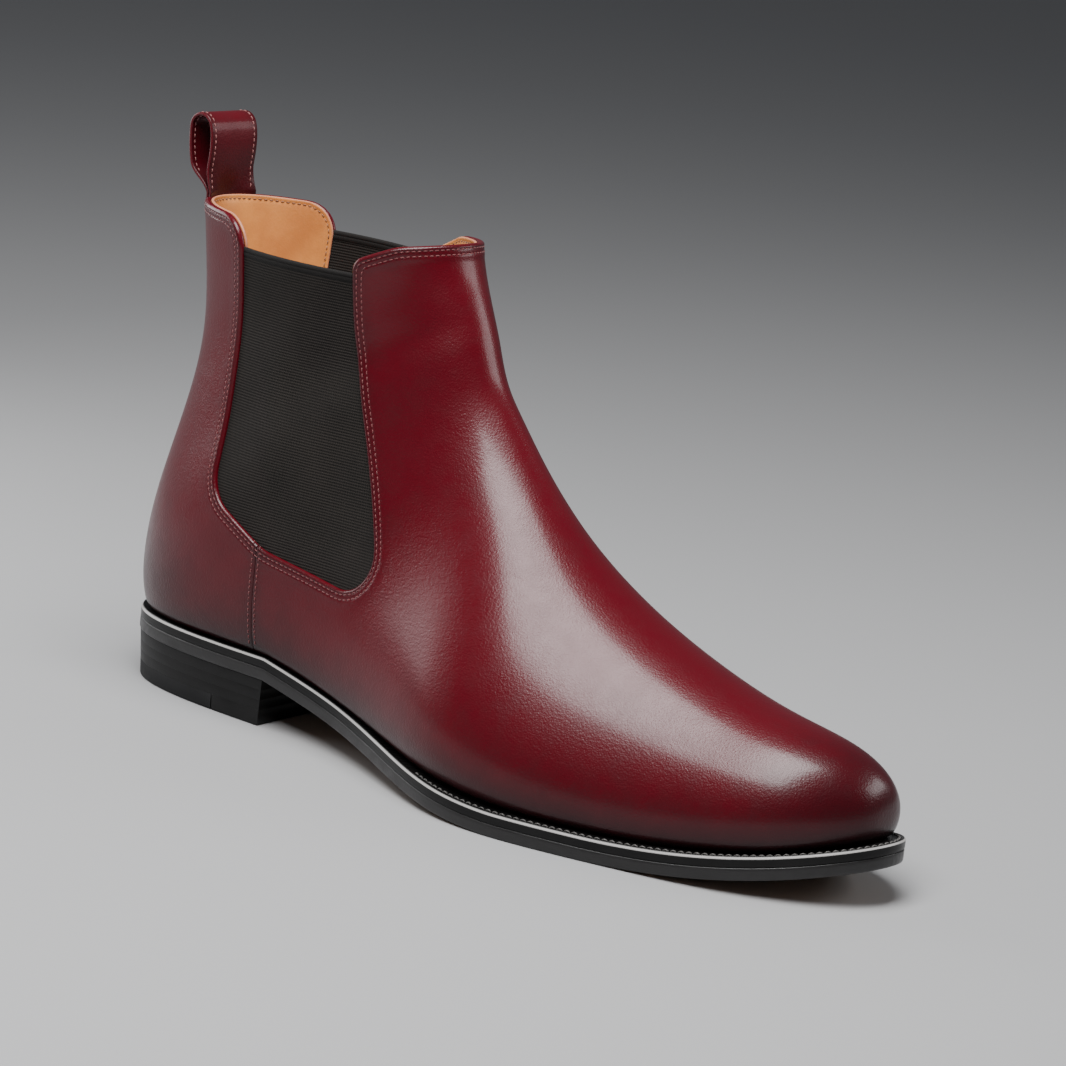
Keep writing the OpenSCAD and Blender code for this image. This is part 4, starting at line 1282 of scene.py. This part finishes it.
def moved_in(outline, d):
    """A closed outline moved inwards, its corners kept."""
    a = outline - np.roll(outline, 1, 0)
    b = np.roll(outline, -1, 0) - outline
    na, nb = (np.stack([-v[:, 1], v[:, 0]], 1) / np.linalg.norm(v, axis=1, keepdims=True)
              for v in (a, b))
    m = na + nb
    return outline + m * (d / np.maximum((m * na).sum(1, keepdims=True), 0.2))


def heel_outline(step, cut=None):
    """The heel seen from above, turning anticlockwise, as one layer; cut keeps one side of a line."""
    p = ring_edge + ring_way * (-0.35 - TAPER * step)
    stop = HEEL_FRONT - TAPER * step
    outer = p[:STATIONS + 1][p[:STATIONS + 1, 0] < stop - 0.8]
    inner = p[STATIONS + 1:][p[STATIONS + 1:, 0] < stop - 0.8]
    ya, yb = outer[-1, 1], inner[0, 1]
    t = np.linspace(0, 1, 15)
    breast = np.stack([stop - 1.0 * np.sin(np.pi * t), ya + (yb - ya) * t], 1)
    outline = np.concatenate([outer, breast, inner])
    if cut is not None:
        keep = []
        ahead = (outline[:, 0] - TIP_LINE_X + TIP_LINE_SLANT * outline[:, 1]) * cut
        for a, b, fa, fb in zip(outline, np.roll(outline, -1, 0), ahead, np.roll(ahead, -1)):
            if fa > 0:
                keep.append(a)
            if fa * fb < 0:
                keep.append(a + (b - a) * fa / (fa - fb))
        outline = np.array(keep)
    gap = np.linalg.norm(np.roll(outline, -1, 0) - outline, axis=1)
    return outline[gap > 0.05]


def heel_block(name, outline, z0, z1, soft, material, slot, *nodes):
    """A flat block between two heights with softened edges."""
    rings = [(soft + TAPER, z0), (soft * 0.3 + TAPER, z0 + soft * 0.3), (TAPER, z0 + soft),
             (0, z1 - soft), (soft * 0.3, z1 - soft * 0.3), (soft, z1)]
    n = len(outline)
    points = np.concatenate([np.column_stack([moved_in(outline, d), np.full(n, z)]) for d, z in rings])
    faces = [(s * n + k, s * n + (k + 1) % n, (s + 1) * n + (k + 1) % n, (s + 1) * n + k)
             for s in range(len(rings) - 1) for k in range(n)]
    faces += [tuple(range(n))[::-1], tuple(range(5 * n, 6 * n))]
    piece = mesh_piece(name, points, faces, [material])
    piece.data.set_sharp_from_angle(angle=math.radians(50))
    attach(piece, "boot")
    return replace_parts(piece, *nodes)


heel_black = black_leather("heel_leather", 0.42, (0.0048, 0.0046, 0.0046))
rubber = black_leather("tip_rubber", 0.62, (0.0075, 0.0075, 0.0078))
for step, word in ((1, "upper"), (2, "middle"), (3, "lower")):
    heel_block("heel_lift_" + word + "_layer", heel_outline(step - 1), HEEL_H - LIFT_T * step,
               HEEL_H - LIFT_T * (step - 1), 0.04, heel_black, "heel_leather", "heel_lift_" + word)
heel_block("top_piece_layer", heel_outline(3, 1), NAIL_PROUD, TIP_T, 0.22, heel_black, "heel_leather",
           "top_piece")
heel_block("rubber_tip_layer", heel_outline(3, -1), NAIL_PROUD, TIP_T, 0.22, rubber, "heel_rubber",
           "rubber_tip")

give("heel_nails", metal_material("nail_brass", (0.62, 0.43, 0.17), (0.40, 0.26, 0.10), 900,
                                  (1, 1, 1), (0.25, 0.5), 0.4))

# --- Stage -------------------------------------------------------------------------------
# A plain pale floor, three soft lights and the camera, which looks at the outer side of the
# boot from a little above.
floor_mesh = bpy.data.meshes.new("studio_floor")
floor_mesh.from_pydata([(-4, -4, 0), (4, -4, 0), (4, 4, 0), (-4, 4, 0)], [], [(0, 1, 2, 3)])
floor = bpy.data.objects.new("studio_floor", floor_mesh)
bpy.context.scene.collection.objects.link(floor)
m, nodes, links, shader, where = new_material("pale_floor")
shader.inputs["Base Color"].default_value = (0.36, 0.36, 0.365, 1)
shader.inputs["Roughness"].default_value = 0.75
floor_mesh.materials.append(m)

world = bpy.data.worlds.new("studio")
world.use_nodes = True
world.node_tree.nodes["Background"].inputs[0].default_value = (0.9, 0.93, 1.0, 1)
world.node_tree.nodes["Background"].inputs[1].default_value = 0.12
bpy.context.scene.world = world


def soft_light(name, at, towards, across, size, power, colour=(1, 1, 1)):
    """A rectangular soft light; across is the direction of its width."""
    data = bpy.data.lights.new(name, "AREA")
    data.shape, data.size, data.size_y, data.energy, data.color = "RECTANGLE", *size, power, colour
    lamp = bpy.data.objects.new(name, data)
    out = (Vector(at) - Vector(towards)).normalized()
    wide = (Vector(across) - out * out.dot(Vector(across))).normalized()
    lamp.matrix_world = Matrix.Translation(at) @ Matrix(
        (wide, out.cross(wide), out)).transposed().to_4x4()
    lamp.visible_camera = False
    bpy.context.scene.collection.objects.link(lamp)


soft_light("overhead", (0.1, -0.4, 1.05), (0.1, -0.3, 0), (1, 0, 0), (0.5, 1.0), 27)
soft_light("heel_side", (-0.58, -0.12, 0.27), (0, -0.1, 0.14), (0, 1, 0), (0.5, 0.32), 2.0)
soft_light("instep_side", (0.75, 0.75, 0.6), (0, 0, 0.08), (1, -1, 0), (0.7, 0.35), 4)

AZIMUTH, ELEVATION, ROLL, DISTANCE = (math.radians(37.83), math.radians(13.22),
                                      math.radians(6.74), 1.498)
back = Vector((math.sin(AZIMUTH) * math.cos(ELEVATION), -math.cos(AZIMUTH) * math.cos(ELEVATION),
               math.sin(ELEVATION)))
right = Vector((math.cos(AZIMUTH), math.sin(AZIMUTH), 0))
up = back.cross(right)
across = right * math.cos(ROLL) + up * math.sin(ROLL)
upward = back.cross(across)
camera_data = bpy.data.cameras.new("camera")
camera_data.lens, camera_data.sensor_width = 146.2, 36
camera_data.clip_start, camera_data.clip_end = 0.05, 20
camera = bpy.data.objects.new("camera", camera_data)
turn = Matrix((across, upward, back)).transposed().to_4x4()
aim = Vector(placed([(162.18, 3.07, 88.55)])[0])
camera.matrix_world = Matrix.Translation(aim + back * DISTANCE) @ turn
bpy.context.scene.collection.objects.link(camera)
bpy.context.scene.camera = camera
